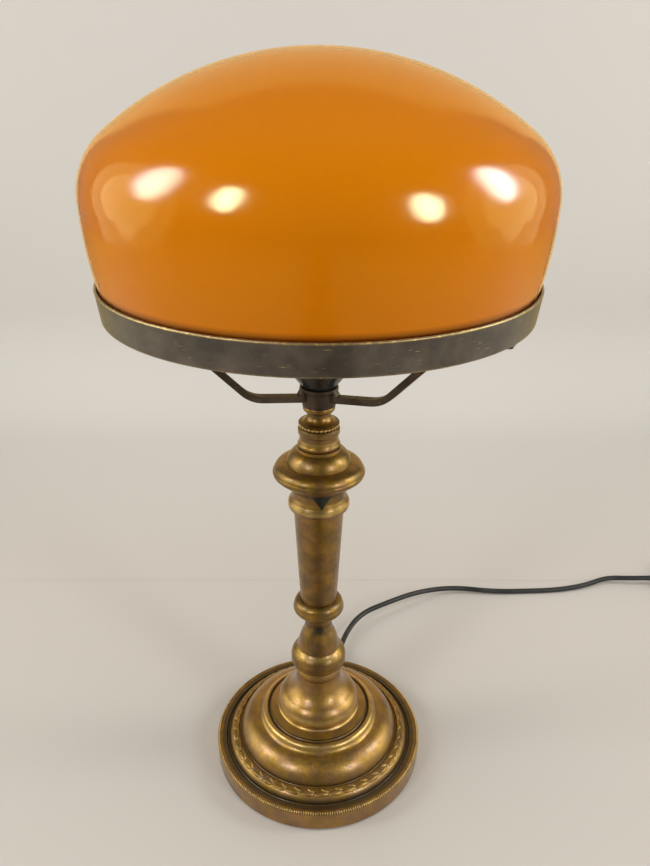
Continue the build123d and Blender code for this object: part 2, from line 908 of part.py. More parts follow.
with BuildPart() as bulb_glass:
    with BuildSketch(Plane.XZ):
        with BuildLine():
            draw_bulb_side(0)
            draw_bulb_side(bulb_glass_wall)
            Line(
                (bulb_cap_inner, bulb_glass_bottom), (bulb_cap_inner - bulb_glass_wall, bulb_glass_bottom)
            )
            Line((0, bulb_top), (0, bulb_top - bulb_glass_wall))
        make_face()
    revolve(axis=Axis.Z)
finish(bulb_glass, "bulb_glass")

# Cord inside the lamp: in through the bushing, along the weight's channel and up the pipe
exit_direction = Vector(math.cos(math.radians(exit_angle)), math.sin(math.radians(exit_angle)), 0)
bushing_seat = foot_radius
bushing_end = bushing_seat + bushing_flange_thickness + bushing_length
bushing_start = skirt_inner_radius - bushing_inner_length
cord_exit = exit_direction * bushing_end + Vector(0, 0, exit_height)
with BuildPart() as cord_bushing:
    with BuildSketch(exit_plane.offset(bushing_start)):
        Circle(bushing_hole_radius)
    extrude(amount=bushing_seat - bushing_start)
    with BuildSketch(exit_plane.offset(bushing_seat)):
        Circle(bushing_flange_radius)
    extrude(amount=bushing_flange_thickness)
    with BuildSketch(exit_plane.offset(bushing_seat + bushing_flange_thickness)):
        Circle(bushing_hole_radius)
    with BuildSketch(exit_plane.offset(bushing_end)):
        Circle(bushing_tip_radius)
    loft()
    with BuildSketch(exit_plane.offset(bushing_start)):
        Circle(cord_radius)
    extrude(amount=bushing_end - bushing_start, mode=Mode.SUBTRACT)
finish(cord_bushing, "cord_bushing")

inner_cord_top = tube_top + overrun
with BuildPart() as inner_cord:
    with BuildLine():
        FilletPolyline(
            cord_exit,
            Vector(0, 0, exit_height),
            Vector(0, 0, inner_cord_top),
            radius=inner_bend,
        )
    with BuildSketch(Plane(origin=cord_exit, z_dir=-exit_direction)):
        Circle(cord_radius)
    sweep()
finish(inner_cord, "inner_cord")

core_level = inner_cord_top + 2 * core_radius
core_end = cap_step - terminal_screw_head_height
with BuildPart() as core_wires:
    for side in (-1, 1):
        core_start = (side * (core_radius + running_clearance), 0, inner_cord_top)
        with BuildLine() as core_route:
            FilletPolyline(
                core_start,
                (core_start[0], 0, core_level),
                (side * terminal_circle, 0, (core_level + core_end) / 2),
                (side * terminal_circle, 0, core_end),
                radius=core_bend,
            )
        with BuildSketch(Plane(origin=core_start, z_dir=(0, 0, 1))):
            Circle(core_radius)
        sweep(path=core_route.line)
finish(core_wires, "core_wires")

# Free cord from the bushing to the switch: its points are chosen by hand
cord_rest = cord_radius
switch_axis_height = switch_height * switch_base_share
lead_start = cord_exit + exit_direction * straight_lead_in
lead_route = [
    tuple(cord_exit),
    tuple(lead_start),
    (37.5, 135.0, 10.6),
    (62.5, 149.5, 11.6),
    (94.0, 169.5, 9.2),
    (130.0, 182.0, 5.0),
    (168.0, 178.6, 2.6),
    (200.0, 179.6, 2.3),
    (232.0, 181.5, 2.3),
    (261.0, 188.0, 3.0),
    (284.0, 198.0, 4.8),
    (306.0, 194.4, 6.6),
    (326.0, switch_across, switch_axis_height),
    (switch_end, switch_across, switch_axis_height),
]
lead_radii = run_radii(lead_route)
print("cord_lead radii", [round(radius) for radius in lead_radii])
with BuildPart() as cord_lead:
    with BuildLine() as lead_line:
        FilletPolyline(*lead_route, radius=lead_radii)
    with BuildSketch(Plane(origin=lead_line.line @ 0, z_dir=lead_line.line % 0)):
        Circle(cord_radius)
    sweep()
finish(cord_lead, "cord_lead")

# In-line switch
switch_middle = switch_end + switch_length / 2
switch_plane = Plane(origin=(switch_middle, switch_across, 0))
switch_split = switch_height * switch_base_share
switch_screw_offset = switch_length / 2 - switch_screw_inset
with BuildPart() as switch_base:
    with BuildSketch(switch_plane):
        RectangleRounded(switch_length, switch_width, switch_corner)
    extrude(amount=switch_split)
    with BuildSketch(switch_plane.offset(switch_wall)):
        RectangleRounded(
            switch_length - 2 * switch_wall, switch_width - 2 * switch_wall, switch_corner - switch_wall
        )
        with Locations((-switch_screw_offset, 0), (switch_screw_offset, 0)):
            Circle(switch_boss_radius, mode=Mode.SUBTRACT)
    extrude(amount=switch_split, mode=Mode.SUBTRACT)
    with BuildSketch(switch_plane):
        with Locations((-switch_screw_offset, 0), (switch_screw_offset, 0)):
            Circle(switch_screw_radius)
    extrude(amount=switch_split, mode=Mode.SUBTRACT)
    with BuildSketch(switch_plane):
        with Locations((-switch_screw_offset, 0), (switch_screw_offset, 0)):
            Circle(switch_screw_head_radius)
    extrude(amount=switch_screw_head_height, mode=Mode.SUBTRACT)
finish(switch_base, "switch_base")

slot_half_length = rocker_radius + slot_clearance
slot_half_width = rocker_half_width + slot_clearance
pin_half_length = slot_half_width + rib_thickness
with BuildPart() as switch_cover:
    with BuildSketch(switch_plane.offset(switch_split)):
        RectangleRounded(switch_length, switch_width, switch_corner)
    extrude(amount=switch_height - switch_split)
    fillet(switch_cover.edges().group_by(Axis.Z)[-1], switch_rounding)
    with BuildSketch(switch_plane.offset(switch_split)):
        RectangleRounded(
            switch_length - 2 * switch_wall, switch_width - 2 * switch_wall, switch_corner - switch_wall
        )
        with Locations((-switch_screw_offset, 0), (switch_screw_offset, 0)):
            Circle(switch_boss_radius, mode=Mode.SUBTRACT)
    extrude(amount=switch_height - switch_split - switch_wall, mode=Mode.SUBTRACT)
    with BuildSketch(switch_plane.offset(rocker_pin_height - rib_below_pin)):
        for side in (-1, 1):
            with Locations((0, side * (slot_half_width + rib_thickness / 2))):
                Rectangle(2 * rib_half_length, rib_thickness)
    extrude(amount=switch_height - switch_wall - rocker_pin_height + rib_below_pin)
    with BuildSketch(switch_plane.offset(switch_split)):
        Rectangle(2 * slot_half_length, 2 * slot_half_width)
    extrude(amount=switch_height, mode=Mode.SUBTRACT)
    with BuildSketch(switch_plane.offset(switch_split)):
        with Locations((-switch_screw_offset, 0), (switch_screw_offset, 0)):
            Circle(switch_screw_radius)
    extrude(amount=switch_height - switch_split - 2 * switch_wall, mode=Mode.SUBTRACT)
    with BuildSketch(Plane(origin=(switch_middle, switch_across, rocker_pin_height), z_dir=(0, 1, 0))):
        Circle(rocker_pin_radius)
    extrude(amount=pin_half_length, both=True, mode=Mode.SUBTRACT)
finish(switch_cover, "switch_cover")

with BuildPart() as switch_pin:
    with BuildSketch(Plane(origin=(switch_middle, switch_across, rocker_pin_height), z_dir=(0, 1, 0))):
        Circle(rocker_pin_radius)
    extrude(amount=pin_half_length, both=True)
finish(switch_pin, "switch_pin")

# Rocker: its ends lie on a circle round the pin, so they clear the slot at every angle
rocker_angle = math.radians(rocker_tilt)
rocker_plane = Plane(
    origin=(switch_middle, switch_across, rocker_pin_height),
    x_dir=(math.cos(rocker_angle), 0, math.sin(rocker_angle)),
    z_dir=(0, -1, 0),
)
rocker_end = math.radians(rocker_end_angle)
rocker_top = (rocker_radius * math.cos(rocker_end), rocker_radius * math.sin(rocker_end))
rocker_foot = (rocker_radius * math.cos(rocker_end / 2), -rocker_radius * math.sin(rocker_end / 2))
rocker_left_top = (-rocker_top[0], rocker_top[1])
rocker_left_foot = (-rocker_foot[0], rocker_foot[1])
with BuildPart() as switch_rocker:
    with BuildSketch(rocker_plane):
        with BuildLine():
            ThreePointArc(rocker_foot, (rocker_radius, 0), rocker_top)
            Line(rocker_top, (0, rocker_top[1] - rocker_dip))
            Line((0, rocker_top[1] - rocker_dip), rocker_left_top)
            ThreePointArc(rocker_left_top, (-rocker_radius, 0), rocker_left_foot)
            Polyline(rocker_left_foot, (0, -rocker_below), rocker_foot)
        make_face()
        Circle(rocker_pin_radius + running_clearance, mode=Mode.SUBTRACT)
    extrude(amount=rocker_half_width, both=True)
finish(switch_rocker, "switch_rocker")

with BuildPart() as switch_contacts:
    with BuildSketch(switch_plane.offset(switch_wall)):
        with Locations((-switch_contact_gap, 0), (switch_contact_gap, 0)):
            Rectangle(switch_contact_length, switch_contact_width)
    extrude(amount=switch_contact_height)
finish(switch_contacts, "switch_contacts")

with BuildPart() as switch_screws:
    with BuildSketch(switch_plane):
        with Locations((-switch_screw_offset, 0), (switch_screw_offset, 0)):
            Circle(switch_screw_head_radius)
    extrude(amount=switch_screw_head_height)
    with BuildSketch(switch_plane):
        with Locations((-switch_screw_offset, 0), (switch_screw_offset, 0)):
            Circle(switch_screw_radius)
    extrude(amount=switch_height - 2 * switch_wall)
finish(switch_screws, "switch_screws")

# Put-away coil: half turns in to the middle, a climb, and half turns out again on top
coil_half_pitch = coil_pitch / 2
coil_outer_radius = coil_inner_radius + coil_half_turns * coil_half_pitch
coil_lead_in = 2 * cord_radius
coil_start = Vector(switch_end + switch_length + coil_gap, switch_across, cord_rest)
coil_middle_x = coil_start.X + coil_lead_in
coil_middle_y = switch_across - coil_outer_radius
coil_top = cord_rest + coil_rise


def coil_point(radius, side, height):
    """A point of the coil on the line across it, behind its middle or before it."""
    return Vector(coil_middle_x, coil_middle_y + side * radius, height)


def draw_half_turn(start, end, heading):
    """Draws a half turn as two quarter arcs, which share their middle tangent."""
    reach = (end - start).length / 2
    middle = (start + end) * 0.5 + heading * reach
    TangentArc(start, middle, tangent=heading)
    TangentArc(middle, end, tangent=(end - start).normalized())


coil_points = []
for turn in range(coil_half_turns + 1):
    side = 1 if turn % 2 == 0 else -1
    coil_points.append(coil_point(coil_outer_radius - turn * coil_half_pitch, side, cord_rest))
for turn in range(coil_half_turns + 1):
    side = 1 if (coil_half_turns + 1 + turn) % 2 == 0 else -1
    coil_points.append(coil_point(coil_inner_radius + turn * coil_half_pitch, side, coil_top))
coil_heading = Vector(1, 0, 0)
with BuildPart() as cord_coil:
    with BuildLine() as coil_line:
        Line(coil_start, coil_points[0])
        for start, end in zip(coil_points, coil_points[1:]):
            draw_half_turn(start, end, coil_heading)
            coil_heading = coil_heading * -1
        coil_end = coil_points[-1] + coil_heading * coil_lead_in
        Line(coil_points[-1], coil_end)
    with BuildSketch(Plane(origin=coil_start, z_dir=(1, 0, 0))):
        Circle(cord_radius)
    sweep()
finish(cord_coil, "cord_coil")

# The coil's least gap to itself, on points of its centre line
coil_length = coil_line.wire().length
samples = int(coil_length / cord_radius)
coil_samples = [coil_line.wire() @ (i / samples) for i in range(samples + 1)]
least = min(
    (coil_samples[i] - coil_samples[j]).length
    for i in range(samples + 1)
    for j in range(i + coil_neighbour_samples, samples + 1)
)
print("cord_coil least gap", round(least - 2 * cord_radius, 2), "inner radius", coil_inner_radius)

# Short lead from the switch down to the coil
link_start = Vector(switch_end + switch_length, switch_across, switch_axis_height)
link_route = [
    tuple(link_start),
    (link_start.X + link_end_run, link_start.Y, link_start.Z),
    (coil_start.X - link_end_run, coil_start.Y, coil_start.Z),
    tuple(coil_start),
]
link_radii = run_radii(link_route)
print("cord_link radii", [round(radius) for radius in link_radii])
with BuildPart() as cord_link:
    with BuildLine() as link_line:
        FilletPolyline(*link_route, radius=link_radii)
    with BuildSketch(Plane(origin=link_line.line @ 0, z_dir=link_line.line % 0)):
        Circle(cord_radius)
    sweep()
finish(cord_link, "cord_link")

# Tail from the coil's top turn to the plug, which points forward, clear of the lamp
plug_entry = Vector(
    coil_end.X - 2 * tail_end_run - tail_bend_run - tail_bend_side,
    coil_end.Y - tail_bend_side - tail_bend_run,
    plug_thickness / 2,
)
tail_route = [
    tuple(coil_end),
    (coil_end.X - tail_end_run, coil_end.Y, coil_end.Z),
    (coil_end.X - 2 * tail_end_run, coil_end.Y, plug_entry.Z),
    (plug_entry.X + tail_bend_side, coil_end.Y, plug_entry.Z),
    (plug_entry.X, coil_end.Y - tail_bend_side, plug_entry.Z),
    tuple(plug_entry),
]
tail_radii = run_radii(tail_route)
print("cord_tail radii", [round(radius) for radius in tail_radii])
with BuildPart() as cord_tail:
    with BuildLine() as tail_line:
        FilletPolyline(*tail_route, radius=tail_radii)
    with BuildSketch(Plane(origin=tail_line.line @ 0, z_dir=tail_line.line % 0)):
        Circle(cord_radius)
    sweep()
finish(cord_tail, "cord_tail")

# Mains plug with two round pins
plug_plane = Plane(origin=tuple(plug_entry), x_dir=(1, 0, 0), z_dir=(0, -1, 0))
plug_pin_places = [(-plug_pin_spacing / 2, 0), (plug_pin_spacing / 2, 0)]
plug_face = plug_length * plug_face_share
with BuildPart() as plug_body:
    with BuildSketch(plug_plane):
        RectangleRounded(plug_tail_width, plug_tail_thickness, plug_tail_thickness * plug_corner_share)
    with BuildSketch(plug_plane.offset(plug_length - plug_face)):
        RectangleRounded(plug_width, plug_thickness, plug_thickness * plug_corner_share)
    loft(ruled=True)
    with BuildSketch(plug_plane.offset(plug_length - plug_face)):
        RectangleRounded(plug_width, plug_thickness, plug_thickness * plug_corner_share)
    extrude(amount=plug_face)
    with BuildSketch(plug_plane.offset(plug_length)):
        with Locations(*plug_pin_places):
            Circle(plug_pin_root_radius)
    extrude(amount=-plug_pin_root, mode=Mode.SUBTRACT)
finish(plug_body, "plug_body")

with BuildPart() as plug_pins:
    with BuildSketch(plug_plane.offset(plug_length - plug_pin_root)):
        with Locations(*plug_pin_places):
            Circle(plug_pin_root_radius)
    extrude(amount=plug_pin_root)
    with BuildSketch(plug_plane.offset(plug_length)):
        with Locations(*plug_pin_places):
            Circle(plug_pin_radius)
    extrude(amount=plug_pin_length)
    fillet(plug_pins.edges().group_by(Axis.Y)[0], plug_pin_radius / 2)
finish(plug_pins, "plug_pins")

lead_length = lead_line.wire().length
link_length = link_line.wire().length
tail_length = tail_line.wire().length
for piece, length in (
    (cord_lead, lead_length),
    (cord_link, link_length),
    (cord_tail, tail_length),
    (cord_coil, coil_length),
):
    share = piece.part.volume / (math.pi * cord_radius**2 * length)
    print(piece.part.label, "length", round(length, 1), "volume share", round(share, 4))
cord_total = lead_length + switch_length + link_length + coil_length + tail_length
print("cord total", round(cord_total, 1))
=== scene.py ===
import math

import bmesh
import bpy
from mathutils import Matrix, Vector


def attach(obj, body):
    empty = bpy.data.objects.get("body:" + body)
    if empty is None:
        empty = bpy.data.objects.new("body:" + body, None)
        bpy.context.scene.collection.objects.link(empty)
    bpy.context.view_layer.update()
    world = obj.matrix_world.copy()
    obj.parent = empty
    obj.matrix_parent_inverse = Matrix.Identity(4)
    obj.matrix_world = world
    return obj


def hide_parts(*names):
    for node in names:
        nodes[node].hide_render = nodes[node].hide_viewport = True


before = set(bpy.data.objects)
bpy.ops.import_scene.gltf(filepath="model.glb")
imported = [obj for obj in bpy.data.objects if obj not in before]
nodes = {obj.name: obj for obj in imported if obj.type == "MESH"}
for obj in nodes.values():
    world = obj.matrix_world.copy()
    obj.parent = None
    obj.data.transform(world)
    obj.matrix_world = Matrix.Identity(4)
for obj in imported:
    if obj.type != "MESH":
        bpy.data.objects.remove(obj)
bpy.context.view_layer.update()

# %% [markdown]
# # A brass table lamp with an amber glass shade
# The real lamp is a stack of turned brass pieces on a weighted foot. Three bent arms carry a ring,
# and a domed glass shade stands loose in that ring. The solids of every piece are already in the
# frame that was just loaded. What is left for Blender is the skin: glass, tarnished brass, black
# moulded fittings, the cord that lies on the table, and ornament too fine for the solids.

MM = 0.001

# %% [markdown]
# ## Camera
# The photograph was taken close to the lamp with a wide lens, a little above the shade's rim, so
# the foot looks small and the shade large. The camera stands where the ellipses of ring and foot
# say it stood, and looks down 25 degrees. The three turns are kept apart, because each one is a
# thing a photographer does: tilt the camera down, turn it aside, lean it.

# %% Camera
CAMERA_DISTANCE = 408.7
CAMERA_HEIGHT = 450.1
TILT_DOWN = 25.39
TURN_ASIDE = 0.51
LEAN = 0.36
SENSOR_WIDTH = 36.0
FOCAL_LENGTH = 41.54
NEAREST_SEEN = 0.01

camera_data = bpy.data.cameras.new("camera")
camera_data.sensor_fit = "HORIZONTAL"
camera_data.sensor_width = SENSOR_WIDTH
camera_data.lens = FOCAL_LENGTH
camera_data.clip_start = NEAREST_SEEN
camera = bpy.data.objects.new("camera", camera_data)
bpy.context.scene.collection.objects.link(camera)
camera.matrix_world = (
    Matrix.Translation((0, -CAMERA_DISTANCE * MM, CAMERA_HEIGHT * MM))
    @ Matrix.Rotation(math.radians(-TURN_ASIDE), 4, "Z")
    @ Matrix.Rotation(math.radians(90 - TILT_DOWN), 4, "X")
    @ Matrix.Rotation(math.radians(LEAN), 4, "Z")
)
bpy.context.scene.camera = camera
print("camera looks down", TILT_DOWN, "degrees")

# %% [markdown]
# ## Cord
# A mains lead keeps its length and bends in slow curves. One smooth spline runs the whole way: out
# of the bushing, up in a shallow arch over the table, through the in-line switch, into the coil
# that is put away beside it, and on to the plug. The points are control points, so the line passes
# near them and never kinks. The coil's turns come from a loop, two layers with one climb between.
# Each point carries the cord's radius and the bevel is 1, because Blender's box round a curve counts
# the points' radii and not the bevel.

# %% Cord route
CORD_RADIUS = 2.3
EXIT_ANGLE = math.radians(78.5)
EXIT_REACH = 94.9
EXIT_HEIGHT = 7.6
STRAIGHT_LEAD_IN = 16.0
SWITCH_ACROSS = 193.5
IN_SWITCH = 7.7
IN_PLUG = 6.85
SECOND_LAYER = 8.0
PLUG_ALONG = 389.0
TAIL_ACROSS = 117.1
COIL_MIDDLE = (443.6, 155.3)
COIL_OUTER = 38.2
COIL_INNER = 17.2
HALF_PITCH = 3.0
HALF_TURNS = 7
POINTS_PER_HALF_TURN = 8
CORNER_CUT = 1.0 / math.cos(math.radians(90 / POINTS_PER_HALF_TURN)) ** 2


def exit_point(reach):
    """A point straight out from the bushing, as far from the lamp's axis as reach says."""
    return (reach * math.cos(EXIT_ANGLE), reach * math.sin(EXIT_ANGLE), EXIT_HEIGHT)


lead = [
    exit_point(EXIT_REACH),
    exit_point(EXIT_REACH + STRAIGHT_LEAD_IN),
    (37.5, 135.0, 10.6),
    (62.5, 149.5, 11.6),
    (94.0, 169.5, 9.2),
    (130.0, 182.0, 5.0),
    (168.0, 178.6, 2.6),
    (200.0, 179.6, CORD_RADIUS),
    (232.0, 181.5, CORD_RADIUS),
    (261.0, 188.0, 3.0),
    (284.0, 198.0, 4.8),
    (306.0, 194.4, 6.6),
    (326.0, SWITCH_ACROSS, IN_SWITCH),
    (341.0, SWITCH_ACROSS, IN_SWITCH),
]
link = [
    (399.0, SWITCH_ACROSS, IN_SWITCH),
    (411.0, SWITCH_ACROSS, IN_SWITCH),
    (427.0, SWITCH_ACROSS, CORD_RADIUS),
    (439.0, SWITCH_ACROSS, CORD_RADIUS),
]
tail = [
    (439.0, TAIL_ACROSS, SECOND_LAYER),
    (430.0, TAIL_ACROSS, SECOND_LAYER),
    (421.0, TAIL_ACROSS, IN_PLUG),
    (403.0, TAIL_ACROSS, IN_PLUG),
    (PLUG_ALONG, 103.1, IN_PLUG),
    (PLUG_ALONG, 85.1, IN_PLUG),
]
coil = []
for half_turn in range(2 * HALF_TURNS + 1):
    inward = min(half_turn, HALF_TURNS)
    outward = max(half_turn - HALF_TURNS - 1, -1)
    start = COIL_OUTER - inward * HALF_PITCH if outward < 0 else COIL_INNER + outward * HALF_PITCH
    climbing = half_turn == HALF_TURNS
    end = start if climbing else start + (HALF_PITCH if outward >= 0 else -HALF_PITCH)
    side = 1 if half_turn % 2 == 0 else -1
    centre_y = COIL_MIDDLE[1] + side * (start - end) / 2
    reach = (start + end) / 2 * CORNER_CUT
    for step in range(POINTS_PER_HALF_TURN):
        share = (step + 0.5) / POINTS_PER_HALF_TURN
        turn = math.pi * share
        climbed = share if climbing else float(outward >= 0)
        height = CORD_RADIUS + (SECOND_LAYER - CORD_RADIUS) * climbed
        across = side * reach * math.sin(turn)
        along = side * reach * math.cos(turn)
        coil.append((COIL_MIDDLE[0] + across, centre_y + along, height))
print("cord route:", len(lead), "lead points,", len(coil), "coil points")

# %% Cord
route = lead + link + coil + tail
cord_curve = bpy.data.curves.new("cord", "CURVE")
cord_curve.dimensions = "3D"
spline = cord_curve.splines.new("NURBS")
spline.points.add(len(route) - 1)
for point, place in zip(spline.points, route):
    point.co = (place[0] * MM, place[1] * MM, place[2] * MM, 1.0)
    point.radius = CORD_RADIUS * MM
spline.order_u = 3
spline.use_endpoint_u = True
spline.resolution_u = 8
cord_curve.bevel_depth = 1.0
cord_curve.bevel_resolution = 5
cord_curve.use_fill_caps = True
cord = bpy.data.objects.new("cord", cord_curve)
bpy.context.scene.collection.objects.link(cord)
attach(cord, "lamp")
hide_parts("cord_lead", "cord_link", "cord_coil", "cord_tail")
print("cord made of", len(route), "control points")

# %% [markdown]
# ## Room and light
# The lamp stands on a pale sheet that runs up behind it, and the glass mirrors that sheet over its
# crown. Four soft lamps, two on each side, make the four white spots on the glass. Each lamp hangs
# where the mirrored line of sight from its spot leads. The spots in the photograph are burnt out
# white, and lamps that bright would burn out the paper too. So each lamp has a strong twin in the
# same place that only the glass mirrors, and a weak twin that only the turned brass mirrors. Two
# big pale walls at the sides, each with a smaller light before it, give the flanks of the dome
# their broad glow.

# %% Room
SHEET_HALF_WIDTH = 0.52
SHEET_BACK = 0.66
SHEET_TOP = 1.36
SHEET_FRONT = 0.2
FLOOR_HALF = 1.6
FLOOR_DROP = 0.0002
SWEEP_RADIUS = 0.14
SWEEP_STEPS = 8


def own_mesh(name, build):
    """Makes an object from a mesh that the given function builds, with its normals outward."""
    mesh = bpy.data.meshes.new(name)
    made = bmesh.new()
    build(made)
    bmesh.ops.recalc_face_normals(made, faces=made.faces)
    made.to_mesh(mesh)
    made.free()
    piece = bpy.data.objects.new(name, mesh)
    bpy.context.scene.collection.objects.link(piece)
    return piece


def build_floor(made):
    """A flat square for the table."""
    bmesh.ops.create_grid(made, x_segments=2, y_segments=2, size=FLOOR_HALF)
    bmesh.ops.translate(made, verts=made.verts, vec=(0, 0, -FLOOR_DROP))


def build_sheet(made):
    """One edge is drawn along the floor and up, and is then pulled sideways into a sheet."""
    corners = [made.verts.new((-SHEET_HALF_WIDTH, SHEET_FRONT, 0.0))]
    for step in range(SWEEP_STEPS + 1):
        turn = math.radians(90 * step / SWEEP_STEPS)
        corners.append(
            made.verts.new(
                (
                    -SHEET_HALF_WIDTH,
                    SHEET_BACK - SWEEP_RADIUS * (1 - math.sin(turn)),
                    SWEEP_RADIUS * (1 - math.cos(turn)),
                )
            )
        )
    corners.append(made.verts.new((-SHEET_HALF_WIDTH, SHEET_BACK, SHEET_TOP)))
    edges = [made.edges.new(pair) for pair in zip(corners, corners[1:])]
    pulled = bmesh.ops.extrude_edge_only(made, edges=edges)
    moved = [item for item in pulled["geom"] if isinstance(item, bmesh.types.BMVert)]
    bmesh.ops.translate(made, verts=moved, vec=(2 * SHEET_HALF_WIDTH, 0, 0))


floor = own_mesh("floor", build_floor)
backdrop = own_mesh("backdrop", build_sheet)
for face in backdrop.data.polygons:
    face.use_smooth = True
print("sheet is", 2 * SHEET_HALF_WIDTH, "m wide and", SHEET_TOP, "m high")

# %% Light
ROOM_COLOUR = (0.80, 0.78, 0.76, 1)
ROOM_STRENGTH = 0.26

world = bpy.data.worlds.new("room")
world.use_nodes = True
sky = world.node_tree.nodes["Background"]
sky.inputs["Color"].default_value = ROOM_COLOUR
sky.inputs["Strength"].default_value = ROOM_STRENGTH
bpy.context.scene.world = world


AIM = Vector((0, 0, 0.38))


def soft_lamp(name, place, wide, tall, power):
    """An oval area light that looks at the middle of the glass."""
    light = bpy.data.lights.new(name, "AREA")
    light.shape = "ELLIPSE"
    light.size = wide
    light.size_y = tall
    light.energy = power
    holder = bpy.data.objects.new(name, light)
    holder.location = place
    holder.rotation_mode = "QUATERNION"
    holder.rotation_quaternion = (AIM - Vector(place)).to_track_quat("-Z", "Y")
    bpy.context.scene.collection.objects.link(holder)
    return holder


SPOT_POWER = 4.2
SPOT_PLACES = {
    "lamp_far_left": ((-1.13, -0.18, 0.96), 0.42, 0.66),
    "lamp_near_left": ((-0.78, -0.89, 0.93), 0.28, 0.56),
    "lamp_near_right": ((0.91, -0.86, 0.75), 0.30, 0.62),
    "lamp_far_right": ((1.17, 0.0, 0.89), 0.38, 0.66),
}
GLEAMING = ["base_shell", "baluster", "lower_collar", "upper_collar", "knop", "neck"]
TWINS = {
    "glint": (900.0, (0.36, 0.45, 1.0), ["glass_shade"]),
    "gleam": (18.0, (0.42, 0.66, 1.0), GLEAMING),
}
for name, (place, wide, tall) in SPOT_PLACES.items():
    soft_lamp(name, place, wide, tall, SPOT_POWER)
for kind, (strength, colour, lit) in TWINS.items():
    receivers = bpy.data.collections.new(kind + "_receivers")
    for name in lit:
        receivers.objects.link(nodes[name])
    for name, (place, wide, tall) in SPOT_PLACES.items():
        twin = soft_lamp(name.replace("lamp", kind), place, wide, tall, strength * wide * tall)
        twin.data.color = colour
        twin.visible_diffuse = False
        twin.light_linking.receiver_collection = receivers
WALL_COLOUR = (0.96, 0.97, 0.66)
FILL_PLACES = {
    "overhead": ((0.0, -0.2, 2.2), 1.8, 9.0, False),
    "front_fill": ((0.0, -2.4, 1.0), 1.8, 6.0, False),
    "left_wall": ((-2.0, 0.1, 0.6), 2.2, 9.0, True),
    "right_wall": ((2.0, 0.1, 0.6), 2.2, 9.0, True),
    "left_glow": ((-1.9, 0.1, 0.6), 1.3, 5.0, True),
    "right_glow": ((1.9, 0.1, 0.6), 1.3, 5.0, True),
}
for name, (place, size, power, mirrored) in FILL_PLACES.items():
    fill = soft_lamp(name, place, size, size, power)
    fill.visible_glossy = mirrored
    if mirrored:
        fill.data.color = WALL_COLOUR
print("lights:", len(SPOT_PLACES), "soft spots and", len(FILL_PLACES), "fills")

# %% [markdown]
# ## Tools for materials
# A material here is a small web of nodes. One helper places a node and fills its sockets, another
# turns a value into a run of greys, and a shared group gives every metal piece its stains.

# %% Node helpers
def place(tree, kind, inputs=None, **settings):
    """Places a node, sets it up and fills its inputs with values or with other nodes' outputs."""
    node = tree.nodes.new(kind)
    for name, value in settings.items():
        setattr(node, name, value)
    for key, value in (inputs or {}).items():
        if isinstance(value, bpy.types.NodeSocket):
            tree.links.new(value, node.inputs[key])
        else:
            node.inputs[key].default_value = value
    return node


def ramp(tree, factor, stops):
    """A run of greys along a factor. A stop is (position, grey)."""
    node = place(tree, "ShaderNodeValToRGB", {"Fac": factor})
    marks = node.color_ramp.elements
    while len(marks) < len(stops):
        marks.new(0.5)
    for mark, (position, grey) in zip(marks, sorted(stops, key=lambda stop: stop[0])):
        mark.position = position
        mark.color = (grey, grey, grey, 1)
    return node.outputs["Color"]


def mix(tree, factor, first, second):
    """Mixes two colours by a factor."""
    node = place(tree, "ShaderNodeMix", data_type="RGBA")
    for socket, value in ((node.inputs[0], factor), (node.inputs[6], first), (node.inputs[7], second)):
        if isinstance(value, bpy.types.NodeSocket):
            tree.links.new(value, socket)
        else:
            socket.default_value = (*value, 1) if isinstance(value, tuple) else value
    return node.outputs[2]


def sums(tree, operation, first, second=0.0, clamp=False):
    """One step of arithmetic."""
    node = place(tree, "ShaderNodeMath", {0: first, 1: second}, operation=operation)
    node.use_clamp = clamp
    return node.outputs[0]


def new_material(name):
    """A material with its shader placed, and the tree, the shader and the object's coordinates."""
    material = bpy.data.materials.new(name)
    material.use_nodes = True
    tree = material.node_tree
    shader = tree.nodes["Principled BSDF"]
    where = place(tree, "ShaderNodeTexCoord").outputs["Object"]
    return material, tree, shader, where


def bump(tree, shader, height, distance, strength):
    """Feeds a height into the shader's normal."""
    node = place(tree, "ShaderNodeBump", {"Height": height, "Distance": distance, "Strength": strength})
    tree.links.new(node.outputs["Normal"], shader.inputs["Normal"])


print("helpers ready")

# %% [markdown]
# ## Tarnish
# Old brass is never one colour. Handling leaves broad clouds in two tints, damp leaves small dark
# specks, and polishing leaves fine marks round the turned pieces. The group puts out a mask for
# each, and every metal takes its own share of them.

